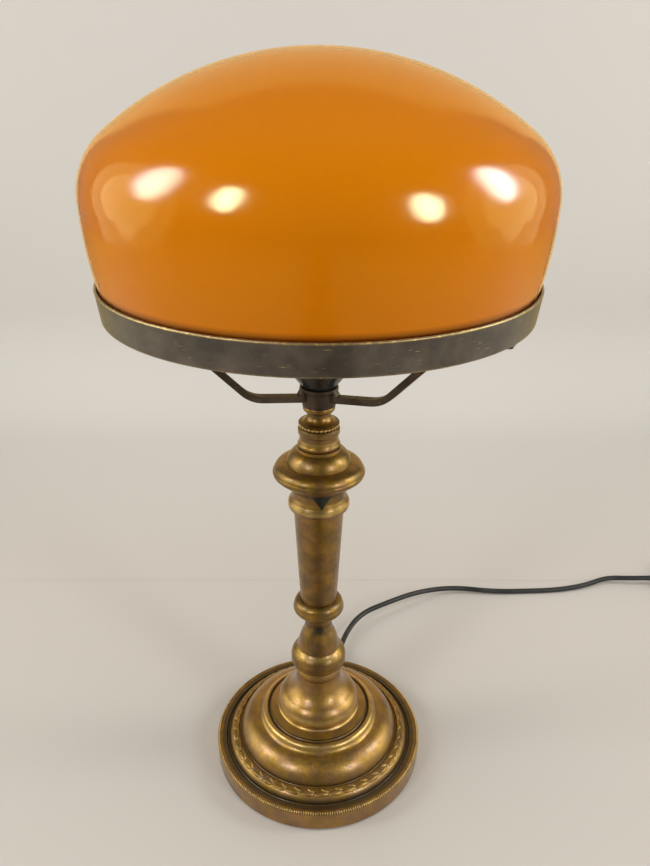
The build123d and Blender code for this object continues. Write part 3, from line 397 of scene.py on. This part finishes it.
# %% Tarnish group
def tarnish_group():
    """Builds the shared node group for stains."""
    group = bpy.data.node_groups.new("tarnish", "ShaderNodeTree")
    for name in ("Cloud size", "Speck size"):
        group.interface.new_socket(name, in_out="INPUT", socket_type="NodeSocketFloat")
    for name in ("Clouds", "Tint", "Specks", "Marks"):
        group.interface.new_socket(name, in_out="OUTPUT", socket_type="NodeSocketFloat")
    asked = place(group, "NodeGroupInput")
    given = place(group, "NodeGroupOutput")
    where = place(group, "ShaderNodeTexCoord").outputs["Object"]
    clouds = place(
        group,
        "ShaderNodeTexNoise",
        {"Vector": where, "Scale": asked.outputs[0], "Detail": 5.0, "Roughness": 0.55, "Distortion": 0.2},
    )
    shifted = place(group, "ShaderNodeVectorMath", {0: where, 1: (0.37, 0.11, 0.23)}, operation="ADD")
    tint = place(
        group,
        "ShaderNodeTexNoise",
        {"Vector": shifted.outputs[0], "Scale": asked.outputs[0], "Detail": 3.0, "Roughness": 0.5},
    )
    specks = place(
        group,
        "ShaderNodeTexNoise",
        {"Vector": where, "Scale": asked.outputs[1], "Detail": 4.0, "Roughness": 0.7},
    )
    stretched = place(
        group, "ShaderNodeVectorMath", {0: where, 1: (60.0, 60.0, 2600.0)}, operation="MULTIPLY"
    )
    marks = place(
        group, "ShaderNodeTexNoise", {"Vector": stretched.outputs[0], "Scale": 1.0, "Detail": 3.0}
    )
    for source, low, high, output in (
        (clouds.outputs["Fac"], 0.36, 0.66, "Clouds"),
        (tint.outputs["Fac"], 0.40, 0.62, "Tint"),
        (specks.outputs["Fac"], 0.50, 0.68, "Specks"),
        (marks.outputs["Fac"], 0.30, 0.70, "Marks"),
    ):
        spread = place(group, "ShaderNodeMapRange", {"Value": source, "From Min": low, "From Max": high})
        group.links.new(spread.outputs["Result"], given.inputs[output])
    return group


tarnish = tarnish_group()
masks = [item.name for item in tarnish.interface.items_tree if item.in_out == "OUTPUT"]
print("group", tarnish.name, "puts out", masks)

# %% [markdown]
# ## Turned brass
# On the real column every lip that a cloth reaches is bright gold and every groove is nearly black.
# The gold lips are partly a painted highlight, and the black grooves partly painted shade. Because
# all of it was turned on one axis, a lip or a groove is simply a height, and on the foot a radius.
# So the wear, with its painted highlight and shade, is two ramps, one for what shines and one for
# what is dark, along the height for the column and along the radius for the foot. The clouds break
# up the shine. Damp has left a green-black patch on the thin neck, and a dark wedge stands on its
# point on the upper collar.

# %% Brass
FOOT_TONES = ((0.40, 0.205, 0.018), (0.35, 0.178, 0.050))
COLUMN_TONES = ((0.33, 0.168, 0.012), (0.27, 0.138, 0.036))
DARK_OLIVE = (0.050, 0.034, 0.009)
GREEN_BLACK = (0.020, 0.024, 0.012)
GOLD_WEAR_AND_HIGHLIGHT = (0.74, 0.50, 0.15)
TARNISH_AND_SHADE_BLACK = (0.014, 0.009, 0.005)
DAMP_REACH = 1.6
DAMP_SHARE = 0.85
WEDGE_SHARPNESS = 1500.0


def band_ramp(tree, position, marks, low, high):
    """A grey ramp with a peak at each (centre, half width, strength, half width of its flat top)."""
    span = high - low
    stops = []
    for centre, half, strength, *flat in marks:
        top = flat[0] if flat else 0.0
        stops += [((centre - half - low) / span, 0.0), ((centre - top - low) / span, float(strength))]
        if flat:
            stops.append(((centre + top - low) / span, float(strength)))
        stops.append(((centre + half - low) / span, 0.0))
    scaled = place(
        tree, "ShaderNodeMapRange", {"Value": position, "From Min": low * MM, "From Max": high * MM}
    )
    return ramp(tree, scaled.outputs["Result"], stops)


def damp_patch(tree, where, patches, ragged):
    """A mask round each (place, reach) in millimetres, with its edge broken up by a noise."""
    mask = 0.0
    for place_mm, reach in patches:
        middle = [value * MM for value in place_mm]
        away = place(tree, "ShaderNodeVectorMath", {0: where, 1: middle}, operation="SUBTRACT")
        squeezed = place(
            tree,
            "ShaderNodeVectorMath",
            {0: away.outputs[0], 1: [1 / (value * MM) for value in reach]},
            operation="MULTIPLY",
        )
        far = place(tree, "ShaderNodeVectorMath", {0: squeezed.outputs[0]}, operation="LENGTH")
        inside = sums(tree, "SUBTRACT", DAMP_REACH, far.outputs["Value"])
        edge = sums(tree, "SUBTRACT", inside, ragged, clamp=True)
        mask = sums(tree, "MAXIMUM", mask, edge)
    return mask


def wedge_patch(tree, where, middle, low, high, half_width):
    """A mask like a wedge that stands on its point, on the front of the collar."""
    apart = place(tree, "ShaderNodeSeparateXYZ", {0: where})
    side = sums(tree, "ABSOLUTE", sums(tree, "SUBTRACT", apart.outputs["X"], middle * MM))
    up = place(
        tree,
        "ShaderNodeMapRange",
        {
            "Value": apart.outputs["Z"],
            "From Min": low * MM,
            "From Max": high * MM,
            "To Max": half_width * MM,
        },
    )
    inside = sums(tree, "SUBTRACT", up.outputs["Result"], side)
    inside = sums(tree, "MULTIPLY", inside, WEDGE_SHARPNESS, clamp=True)
    below = sums(tree, "LESS_THAN", apart.outputs["Z"], high * MM)
    front = sums(tree, "LESS_THAN", apart.outputs["Y"], 0.0)
    return sums(tree, "MULTIPLY", sums(tree, "MULTIPLY", inside, below), front)


def brass(
    name, tones, along, low, high, lips, grooves, green=(), wedge=(), stain=0.6, roughness=0.36, coat=0.85
):
    """Tarnished brass: lips in gold wear and painted highlight, grooves in tarnish and painted shade, by
    height or radius.
    """
    material, tree, shader, where = new_material(name)
    apart = place(tree, "ShaderNodeSeparateXYZ", {0: where})
    if along == "height":
        position = apart.outputs["Z"]
    else:
        flat = place(tree, "ShaderNodeCombineXYZ", {0: apart.outputs["X"], 1: apart.outputs["Y"]})
        reach = place(tree, "ShaderNodeVectorMath", {0: flat.outputs[0]}, operation="LENGTH")
        position = reach.outputs["Value"]
    stains = place(tree, "ShaderNodeGroup", {"Cloud size": 120.0, "Speck size": 480.0}, node_tree=tarnish)
    clouds, tint, specks, marks = (stains.outputs[key] for key in ("Clouds", "Tint", "Specks", "Marks"))
    colour = mix(tree, tint, *tones)
    stained = sums(tree, "MULTIPLY", sums(tree, "SUBTRACT", 1.0, clouds), stain)
    colour = mix(tree, stained, colour, DARK_OLIVE)
    colour = mix(tree, sums(tree, "MULTIPLY", specks, 0.6 * stain), colour, DARK_OLIVE)
    # Lips: rubbed gold wear and a painted highlight. Grooves: dark tarnish and painted shade.
    shine = band_ramp(tree, position, lips, low, high) if lips else 0.0
    dark = band_ramp(tree, position, grooves, low, high) if grooves else 0.0
    wear_and_highlight = sums(tree, "MULTIPLY", shine, sums(tree, "ADD", 0.55, sums(tree, "MULTIPLY", clouds, 0.45)))
    colour = mix(tree, wear_and_highlight, colour, GOLD_WEAR_AND_HIGHLIGHT)
    if green:
        damp = damp_patch(tree, where, green, clouds)
        colour = mix(tree, sums(tree, "MULTIPLY", damp, DAMP_SHARE), colour, GREEN_BLACK)
    if wedge:
        colour = mix(tree, wedge_patch(tree, where, *wedge), colour, GREEN_BLACK)
    colour = mix(tree, dark, colour, TARNISH_AND_SHADE_BLACK)
    rough = sums(tree, "ADD", roughness, sums(tree, "MULTIPLY", specks, 0.16))
    rough = sums(tree, "ADD", rough, sums(tree, "MULTIPLY", dark, 0.35))
    rough = sums(tree, "SUBTRACT", rough, sums(tree, "MULTIPLY", wear_and_highlight, 0.10))
    tree.links.new(colour, shader.inputs["Base Color"])
    tree.links.new(rough, shader.inputs["Roughness"])
    shader.inputs["Metallic"].default_value = 0.95
    shader.inputs["Coat Weight"].default_value = coat
    shader.inputs["Coat Roughness"].default_value = 0.24
    height = sums(tree, "ADD", sums(tree, "MULTIPLY", marks, 0.35), sums(tree, "MULTIPLY", specks, 0.65))
    bump(tree, shader, height, 0.00012, 0.5)
    return material


foot_brass = brass(
    "foot_brass",
    FOOT_TONES,
    "radius",
    low=10.0,
    high=76.0,
    lips=[(28.4, 0.9, 0.7), (39.0, 2.6, 0.75)],
    grooves=[
        (35.4, 2.1, 1.0),
        (56.6, 2.2, 0.6),
        (60.9, 2.1, 0.6),
        (67.3, 4.2, 0.78, 2.4),
        (72.4, 0.8, 0.6),
    ],
    stain=0.32,
)
column_brass = brass(
    "column_brass",
    COLUMN_TONES,
    "height",
    low=70.0,
    high=290.0,
    lips=[
        (93.0, 1.2, 0.3),
        (126.0, 1.4, 0.45),
        (209.5, 2.2, 0.8),
        (227.6, 1.6, 0.6),
        (253.0, 1.0, 0.5),
        (262.3, 0.8, 0.7),
    ],
    grooves=[
        (79.3, 1.2, 0.8),
        (114.8, 2.2, 0.55),
        (122.0, 0.9, 0.8),
        (134.0, 0.8, 0.6),
        (220.5, 1.4, 0.7),
        (261.0, 0.5, 0.9),
        (264.0, 0.7, 0.9),
        (270.5, 1.4, 0.6),
    ],
    green=[((0.0, -12.0, 113.0), (5.0, 9.0, 6.0))],
    wedge=(1.8, 212.0, 221.0, 6.6),
    stain=0.55,
    coat=0.6,
)
print("brass materials:", foot_brass.name, column_brass.name)

# %% [markdown]
# ## Leaf band
# A garland of small laurel leaves runs round the foot, cast with it and rubbed bright on its high
# side. Eighty leaves could be pasted one by one, but they are all the same leaf. So one leaf is
# pressed from a sphere, a second is leaned the other way, and the pair is spun round the lamp's
# axis as copies. A leaf needs only a few dozen faces, because it is seen two or three pixels high.

# %% Leaves
LEAF_PAIRS = 40
LEAF_LENGTH = 5.6
LEAF_WIDTH = 2.5
LEAF_RISE = 1.5
LEAF_LEAN = 24.0
LEAF_RADIUS = 60.4
LEAF_HEIGHT = 19.55
LEAF_TILT = 23.0
LEAF_SHIFT = 1.1


def turn_verts(made, verts, degrees, axis):
    """Turns vertices about an axis through the origin."""
    matrix = Matrix.Rotation(math.radians(degrees), 3, axis)
    bmesh.ops.rotate(made, verts=verts, cent=(0, 0, 0), matrix=matrix)


def lay_leaf(made, lean, shift):
    """Presses one leaf, leans it and lays it on the slope of the foot."""
    new = bmesh.ops.create_uvsphere(made, u_segments=8, v_segments=6, radius=0.5 * MM)["verts"]
    turn_verts(made, new, 90, "Y")
    bmesh.ops.scale(made, verts=new, vec=(LEAF_LENGTH, LEAF_WIDTH, LEAF_RISE))
    turn_verts(made, new, lean, "Z")
    bmesh.ops.translate(made, verts=new, vec=(0, shift * MM, 0))
    turn_verts(made, new, -LEAF_TILT, "X")
    bmesh.ops.translate(made, verts=new, vec=(0, LEAF_RADIUS * MM, LEAF_HEIGHT * MM))


def spin_copies(made, count):
    """Copies everything that is there round the lamp's axis until the ring is full."""
    bmesh.ops.spin(
        made,
        geom=made.verts[:] + made.edges[:] + made.faces[:],
        cent=(0, 0, 0),
        axis=(0, 0, 1),
        angle=math.radians(360 * (count - 1) / count),
        steps=count - 1,
        use_duplicate=True,
    )


def build_leaves(made):
    """A pair of leaves that lean apart, copied round the foot."""
    lay_leaf(made, LEAF_LEAN, LEAF_SHIFT)
    lay_leaf(made, -LEAF_LEAN, -LEAF_SHIFT)
    second = made.verts[len(made.verts) // 2:]
    turn_verts(made, second, 180 / LEAF_PAIRS, "Z")
    spin_copies(made, LEAF_PAIRS)


leaf_band = own_mesh("leaf_band", build_leaves)
print("leaf band:", len(leaf_band.data.polygons), "faces")

# %% [markdown]
# ## Knurled rim
# The upper edge of the rim is rolled with fine ridges, like the edge of a coin. They catch the light
# as a row of dots. One ridge is a small bar with its long edges bevelled, laid over the rounded edge
# and copied round. A bump map would do from the front, but the ridges also show in the outline.

# %% Ridges
RIDGE_COUNT = 290
RIDGE_WIDTH = 0.8
RIDGE_LENGTH = 2.6
RIDGE_DEPTH = 1.1
RIDGE_RADIUS = 72.65
RIDGE_HEIGHT = 14.75
RIDGE_BEVEL = 0.26
RIDGE_TILT = 45


def build_ridges(made):
    """One bevelled bar across the rim's edge, copied round."""
    bar = bmesh.ops.create_cube(made, size=MM)["verts"]
    bmesh.ops.scale(made, verts=bar, vec=(RIDGE_WIDTH, RIDGE_LENGTH, RIDGE_DEPTH))
    top_edges = [edge for edge in made.edges if all(vert.co.z > 0 for vert in edge.verts)]
    bmesh.ops.bevel(
        made, geom=top_edges, offset=RIDGE_BEVEL * MM, segments=1, profile=0.5, affect="EDGES", material=-1
    )
    turn_verts(made, made.verts, -RIDGE_TILT, "X")
    bmesh.ops.translate(made, verts=made.verts, vec=(0, RIDGE_RADIUS * MM, RIDGE_HEIGHT * MM))
    spin_copies(made, RIDGE_COUNT)


rim_ridges = own_mesh("rim_ridges", build_ridges)
print("rim ridges:", len(rim_ridges.data.polygons), "faces")

# %% Brass for leaves and ridges
leaf_brass = brass(
    "leaf_brass",
    FOOT_TONES,
    "radius",
    low=50.0,
    high=80.0,
    lips=[(60.4, 4.0, 0.35)],
    grooves=[],
    roughness=0.5,
    coat=0.4,
)
# The ridges are painted gold toward their outer edge: partly rubbed wear, partly a painted highlight.
ridge_brass = brass(
    "ridge_brass",
    FOOT_TONES,
    "radius",
    low=60.0,
    high=80.0,
    lips=[(73.2, 1.4, 0.7)],
    grooves=[],
    roughness=0.34,
)
for piece, material in ((leaf_band, leaf_brass), (rim_ridges, ridge_brass)):
    for face in piece.data.polygons:
        face.use_smooth = True
    piece.data.materials.append(material)
    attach(piece, "lamp")
print("ornament rides on the lamp")

# %% [markdown]
# ## Ring, arms and small metal
# The ring and the arms carry a much darker brown patina. It is rubbed to gold along the ring's top
# edge, faintly along its lower edge, and in a few scratches; the gold along the edges is partly a
# painted highlight. The hidden hardware is plain: zinc-plated steel, cast iron, brass and nickel.

# %% Dark metal
RING_LOW = 330.0
RING_HIGH = 360.0


def dark_metal(name, deep, lighter, bare, lips=(), roughness=0.42, scratches=0.5, coat=0.0):
    """A metal in two shades, with thin scratches down to the bare metal."""
    material, tree, shader, where = new_material(name)
    stains = place(tree, "ShaderNodeGroup", {"Cloud size": 70.0, "Speck size": 420.0}, node_tree=tarnish)
    colour = mix(tree, stains.outputs["Clouds"], deep, lighter)
    stretched = place(
        tree, "ShaderNodeVectorMath", {0: where, 1: (140.0, 140.0, 1500.0)}, operation="MULTIPLY"
    )
    lines = place(
        tree, "ShaderNodeTexNoise", {"Vector": stretched.outputs[0], "Scale": 1.0, "Detail": 5.0}
    )
    scratch = ramp(tree, lines.outputs["Fac"], [(0.0, 0.0), (0.66, 0.0), (0.74, 1.0), (1.0, 1.0)])
    scratch_and_edge_share = sums(tree, "MULTIPLY", scratch, scratches)
    # Gold edge bands: partly rubbed wear, partly a painted highlight.
    if lips:
        height = place(tree, "ShaderNodeSeparateXYZ", {0: where}).outputs["Z"]
        edge = band_ramp(tree, height, lips, RING_LOW, RING_HIGH)
        edge = sums(tree, "MULTIPLY", edge, sums(tree, "ADD", 0.5, stains.outputs["Specks"]), clamp=True)
        scratch_and_edge_share = sums(tree, "MAXIMUM", scratch_and_edge_share, edge)
    colour = mix(tree, scratch_and_edge_share, colour, bare)
    tree.links.new(colour, shader.inputs["Base Color"])
    rough = sums(tree, "ADD", roughness, sums(tree, "MULTIPLY", stains.outputs["Specks"], 0.15))
    tree.links.new(rough, shader.inputs["Roughness"])
    shader.inputs["Metallic"].default_value = 0.85
    shader.inputs["Coat Weight"].default_value = coat
    shader.inputs["Coat Roughness"].default_value = 0.3
    bump(tree, shader, stains.outputs["Specks"], 0.0001, 0.4)
    return material


ring_patina = dark_metal(
    "ring_patina",
    (0.07, 0.057, 0.042),
    (0.14, 0.112, 0.084),
    GOLD_WEAR_AND_HIGHLIGHT,
    lips=[(352.4, 0.8, 0.95), (337.0, 0.6, 0.35)],
    roughness=0.36,
    coat=0.6,
)
arm_bronze = dark_metal(
    "arm_bronze", (0.05, 0.035, 0.024), (0.10, 0.072, 0.048), (0.40, 0.28, 0.13), scratches=0.35
)
zinc = dark_metal(
    "zinc", (0.42, 0.42, 0.41), (0.58, 0.58, 0.56), (0.75, 0.75, 0.74), roughness=0.34, scratches=0.3
)
iron = dark_metal(
    "iron", (0.045, 0.045, 0.046), (0.09, 0.088, 0.085), (0.2, 0.19, 0.18), roughness=0.6, scratches=0.2
)
contact_brass = dark_metal(
    "contact_brass",
    (0.55, 0.38, 0.13),
    (0.72, 0.53, 0.22),
    (0.85, 0.68, 0.34),
    roughness=0.28,
    scratches=0.3,
)
nickel = dark_metal(
    "nickel", (0.50, 0.49, 0.47), (0.66, 0.65, 0.62), (0.8, 0.79, 0.77), roughness=0.24, scratches=0.3
)
print("dark and small metals ready")

# %% [markdown]
# ## Glass
# The shade is cased glass: amber outside over a white layer inside, opaque when it is not lit, and
# as glossy as a glaze. One material serves both faces. Whether a point is on the inner or the outer
# face is read from its normal: outside, the normal points away from the middle of the dome. Down
# inside the ring the glass looks nearly black in the photograph, so it has a dark band there. Its
# mirror is tinted warm, so that a reflection keeps the hue of the amber, as it does in the picture.

# %% Amber glass
AMBER = (0.64, 0.19, 0.0)
DEEP_AMBER = (0.52, 0.118, 0.0)
OPAL = (0.78, 0.70, 0.56)
SHADED = (0.13, 0.022, 0.0)
DOME_MIDDLE = (0.0, 0.0, 0.38)
DEEPENS_FROM = 0.40
DEEPEST_AT = 0.345
SHADED_FROM = 0.3565
SHADED_AT = 0.3530

amber_glass, tree, shader, where = new_material("amber_glass")
middle = place(tree, "ShaderNodeVectorMath", {0: where, 1: DOME_MIDDLE}, operation="SUBTRACT")
facing = place(tree, "ShaderNodeNewGeometry").outputs["Normal"]
outward = place(tree, "ShaderNodeVectorMath", {0: middle.outputs[0], 1: facing}, operation="DOT_PRODUCT")
inner_face = sums(tree, "LESS_THAN", outward.outputs["Value"], 0.0)
drift = place(tree, "ShaderNodeTexNoise", {"Vector": where, "Scale": 9.0, "Detail": 2.0, "Roughness": 0.4})
height = place(tree, "ShaderNodeSeparateXYZ", {0: where}).outputs["Z"]
low_band = place(
    tree, "ShaderNodeMapRange", {"Value": height, "From Min": DEEPENS_FROM, "From Max": DEEPEST_AT}
)
depth = sums(tree, "MULTIPLY", low_band.outputs["Result"], 0.35)
depth = sums(tree, "ADD", depth, sums(tree, "MULTIPLY", drift.outputs["Fac"], 0.25), clamp=True)
glass_colour = mix(tree, depth, AMBER, DEEP_AMBER)
# Painted shadow: a dark band low on the glass inside the ring, for the shade the ring throws.
in_ring = place(
    tree, "ShaderNodeMapRange", {"Value": height, "From Min": SHADED_FROM, "From Max": SHADED_AT}
)
glass_colour = mix(tree, in_ring.outputs["Result"], glass_colour, SHADED)
glass_colour = mix(tree, inner_face, glass_colour, OPAL)
tree.links.new(glass_colour, shader.inputs["Base Color"])
ripple = place(tree, "ShaderNodeTexNoise", {"Vector": where, "Scale": 28.0, "Detail": 1.0})
rough = sums(tree, "ADD", 0.065, sums(tree, "MULTIPLY", ripple.outputs["Fac"], 0.04))
tree.links.new(rough, shader.inputs["Roughness"])
shader.inputs["IOR"].default_value = 1.46
shader.inputs["Specular Tint"].default_value = (0.98, 1.0, 0.30, 1)
bump(tree, shader, ripple.outputs["Fac"], 0.0002, 0.25)
print("glass material:", amber_glass.name)

# %% [markdown]
# ## Black fittings, cord and the rest
# The lampholder, the switch and the plug are moulded plastic with a faint orange-peel skin, and the
# cord is soft rubber, a little duller and greyer where dust holds.

# %% Plastics, rubber, ceramic, felt
def moulded(name, colour, lighter, roughness, skin=900.0, depth=0.00006):
    """A moulded or soft surface with a fine skin and slight clouds of dust."""
    material, tree, shader, where = new_material(name)
    clouds = place(
        tree, "ShaderNodeTexNoise", {"Vector": where, "Scale": 60.0, "Detail": 5.0, "Roughness": 0.6}
    )
    dust = ramp(tree, clouds.outputs["Fac"], [(0.0, 0.0), (0.45, 0.0), (0.75, 1.0), (1.0, 1.0)])
    tree.links.new(mix(tree, dust, colour, lighter), shader.inputs["Base Color"])
    grain = place(tree, "ShaderNodeTexNoise", {"Vector": where, "Scale": skin, "Detail": 3.0})
    rough = sums(tree, "ADD", roughness, sums(tree, "MULTIPLY", dust, 0.12))
    tree.links.new(rough, shader.inputs["Roughness"])
    bump(tree, shader, grain.outputs["Fac"], depth, 0.6)
    return material


black_plastic = moulded("black_plastic", (0.012, 0.012, 0.013), (0.03, 0.029, 0.028), 0.26)
rocker_plastic = moulded("rocker_plastic", (0.018, 0.018, 0.019), (0.035, 0.034, 0.033), 0.42)
cord_rubber = moulded("cord_rubber", (0.012, 0.013, 0.016), (0.035, 0.034, 0.035), 0.40, skin=1500.0)
core_sheath = moulded("core_sheath", (0.03, 0.09, 0.30), (0.05, 0.13, 0.38), 0.35)
ceramic = moulded("ceramic", (0.72, 0.69, 0.62), (0.62, 0.58, 0.50), 0.20, skin=300.0)
insulator = moulded("insulator", (0.02, 0.02, 0.03), (0.04, 0.04, 0.05), 0.12)
frosted = moulded("frosted", (0.80, 0.79, 0.75), (0.74, 0.72, 0.67), 0.32, skin=1800.0)
felt = moulded("felt", (0.028, 0.075, 0.042), (0.06, 0.12, 0.075), 0.95, skin=2600.0, depth=0.0004)
print("soft and moulded materials ready")

# %% Materials onto the pieces
finishes = {
    amber_glass: ["glass_shade"],
    ring_patina: ["shade_ring", "ring_screws"],
    arm_bronze: ["spider"],
    foot_brass: ["base_shell"],
    column_brass: [
        "baluster",
        "lower_collar",
        "column_tube",
        "upper_collar",
        "knop",
        "neck",
        "beaded_collar",
        "seat_neck",
    ],
    zinc: [
        "threaded_tube",
        "tube_nut",
        "tube_washer",
        "base_plate",
        "plate_screws",
        "switch_pin",
        "switch_screws",
    ],
    iron: ["base_weight"],
    contact_brass: [
        "socket_nut",
        "screw_shell",
        "shell_contact",
        "centre_contact",
        "terminal_screws",
        "switch_contacts",
    ],
    nickel: ["bulb_cap", "bulb_tip", "plug_pins"],
    black_plastic: [
        "socket_cap",
        "socket_sleeve",
        "cord_bushing",
        "switch_base",
        "switch_cover",
        "plug_body",
    ],
    rocker_plastic: ["switch_rocker"],
    cord_rubber: ["inner_cord"],
    core_sheath: ["core_wires"],
    ceramic: ["socket_insert"],
    insulator: ["bulb_insulator"],
    frosted: ["bulb_glass"],
    felt: ["base_felt"],
}
for material, names in finishes.items():
    for name in names:
        mesh = nodes[name].data
        mesh.materials.clear()
        mesh.materials.append(material)
cord_curve.materials.append(cord_rubber)
dressed = {name for names in finishes.values() for name in names}
print("dressed", len(dressed), "nodes, left:", sorted(set(nodes) - dressed))

# %% [markdown]
# ## Paper
# Floor and sheet are the same warm grey paper, a little lighter at the back. The room itself isn't
# modelled, so the paper stands in for it in the mirrors: a mirrored ray, which the Light Path node
# tells apart, finds a warmer sheet behind the lamp and a dark strip before it. That brings the
# crown, and the middle of each turned piece, nearer to the tones in the photograph.

# %% Floor material
FLOOR_GREY = (0.618, 0.570, 0.530)
SHEET_GREY = (0.665, 0.632, 0.610)
MIRRORED_WARM = (0.76, 0.58, 0.30)
MIRRORED_DARK = (0.20, 0.165, 0.13)
FIBRE_BROWN = (0.45, 0.40, 0.35)
SHEET_FROM = 0.24
SHEET_WHOLE_AT = 0.64
STRIP_EDGE = 0.17
STRIP_WHOLE_AT = 0.03
STRIP_FROM = -0.08
STRIP_DARK_AT = -0.16
paper, tree, shader, where = new_material("paper")
fibres = place(tree, "ShaderNodeTexNoise", {"Vector": where, "Scale": 3.0, "Detail": 2.0})
apart = place(tree, "ShaderNodeSeparateXYZ", {0: where})
depth = apart.outputs["Y"]
back = place(
    tree, "ShaderNodeMapRange", {"Value": depth, "From Min": SHEET_FROM, "From Max": SHEET_WHOLE_AT}
)
back = back.outputs["Result"]
shade = mix(tree, back, FLOOR_GREY, SHEET_GREY)
shade = mix(tree, sums(tree, "MULTIPLY", fibres.outputs["Fac"], 0.06), shade, FIBRE_BROWN)
mirrored = place(tree, "ShaderNodeLightPath").outputs["Is Glossy Ray"]
shade = mix(tree, sums(tree, "MULTIPLY", mirrored, back), shade, MIRRORED_WARM)
aside = sums(tree, "ABSOLUTE", apart.outputs["X"])
middle = place(
    tree, "ShaderNodeMapRange", {"Value": aside, "From Min": STRIP_EDGE, "From Max": STRIP_WHOLE_AT}
)
before = place(
    tree, "ShaderNodeMapRange", {"Value": depth, "From Min": STRIP_FROM, "From Max": STRIP_DARK_AT}
)
strip = sums(tree, "MULTIPLY", middle.outputs["Result"], before.outputs["Result"])
strip = sums(tree, "MULTIPLY", strip, mirrored)
shade = mix(tree, strip, shade, MIRRORED_DARK)
tree.links.new(shade, shader.inputs["Base Color"])
shader.inputs["Roughness"].default_value = 0.9
for piece in (floor, backdrop):
    piece.data.materials.append(paper)

# %% View transform, and the end
bpy.context.scene.view_settings.view_transform = "Standard"
bpy.context.view_layer.update()
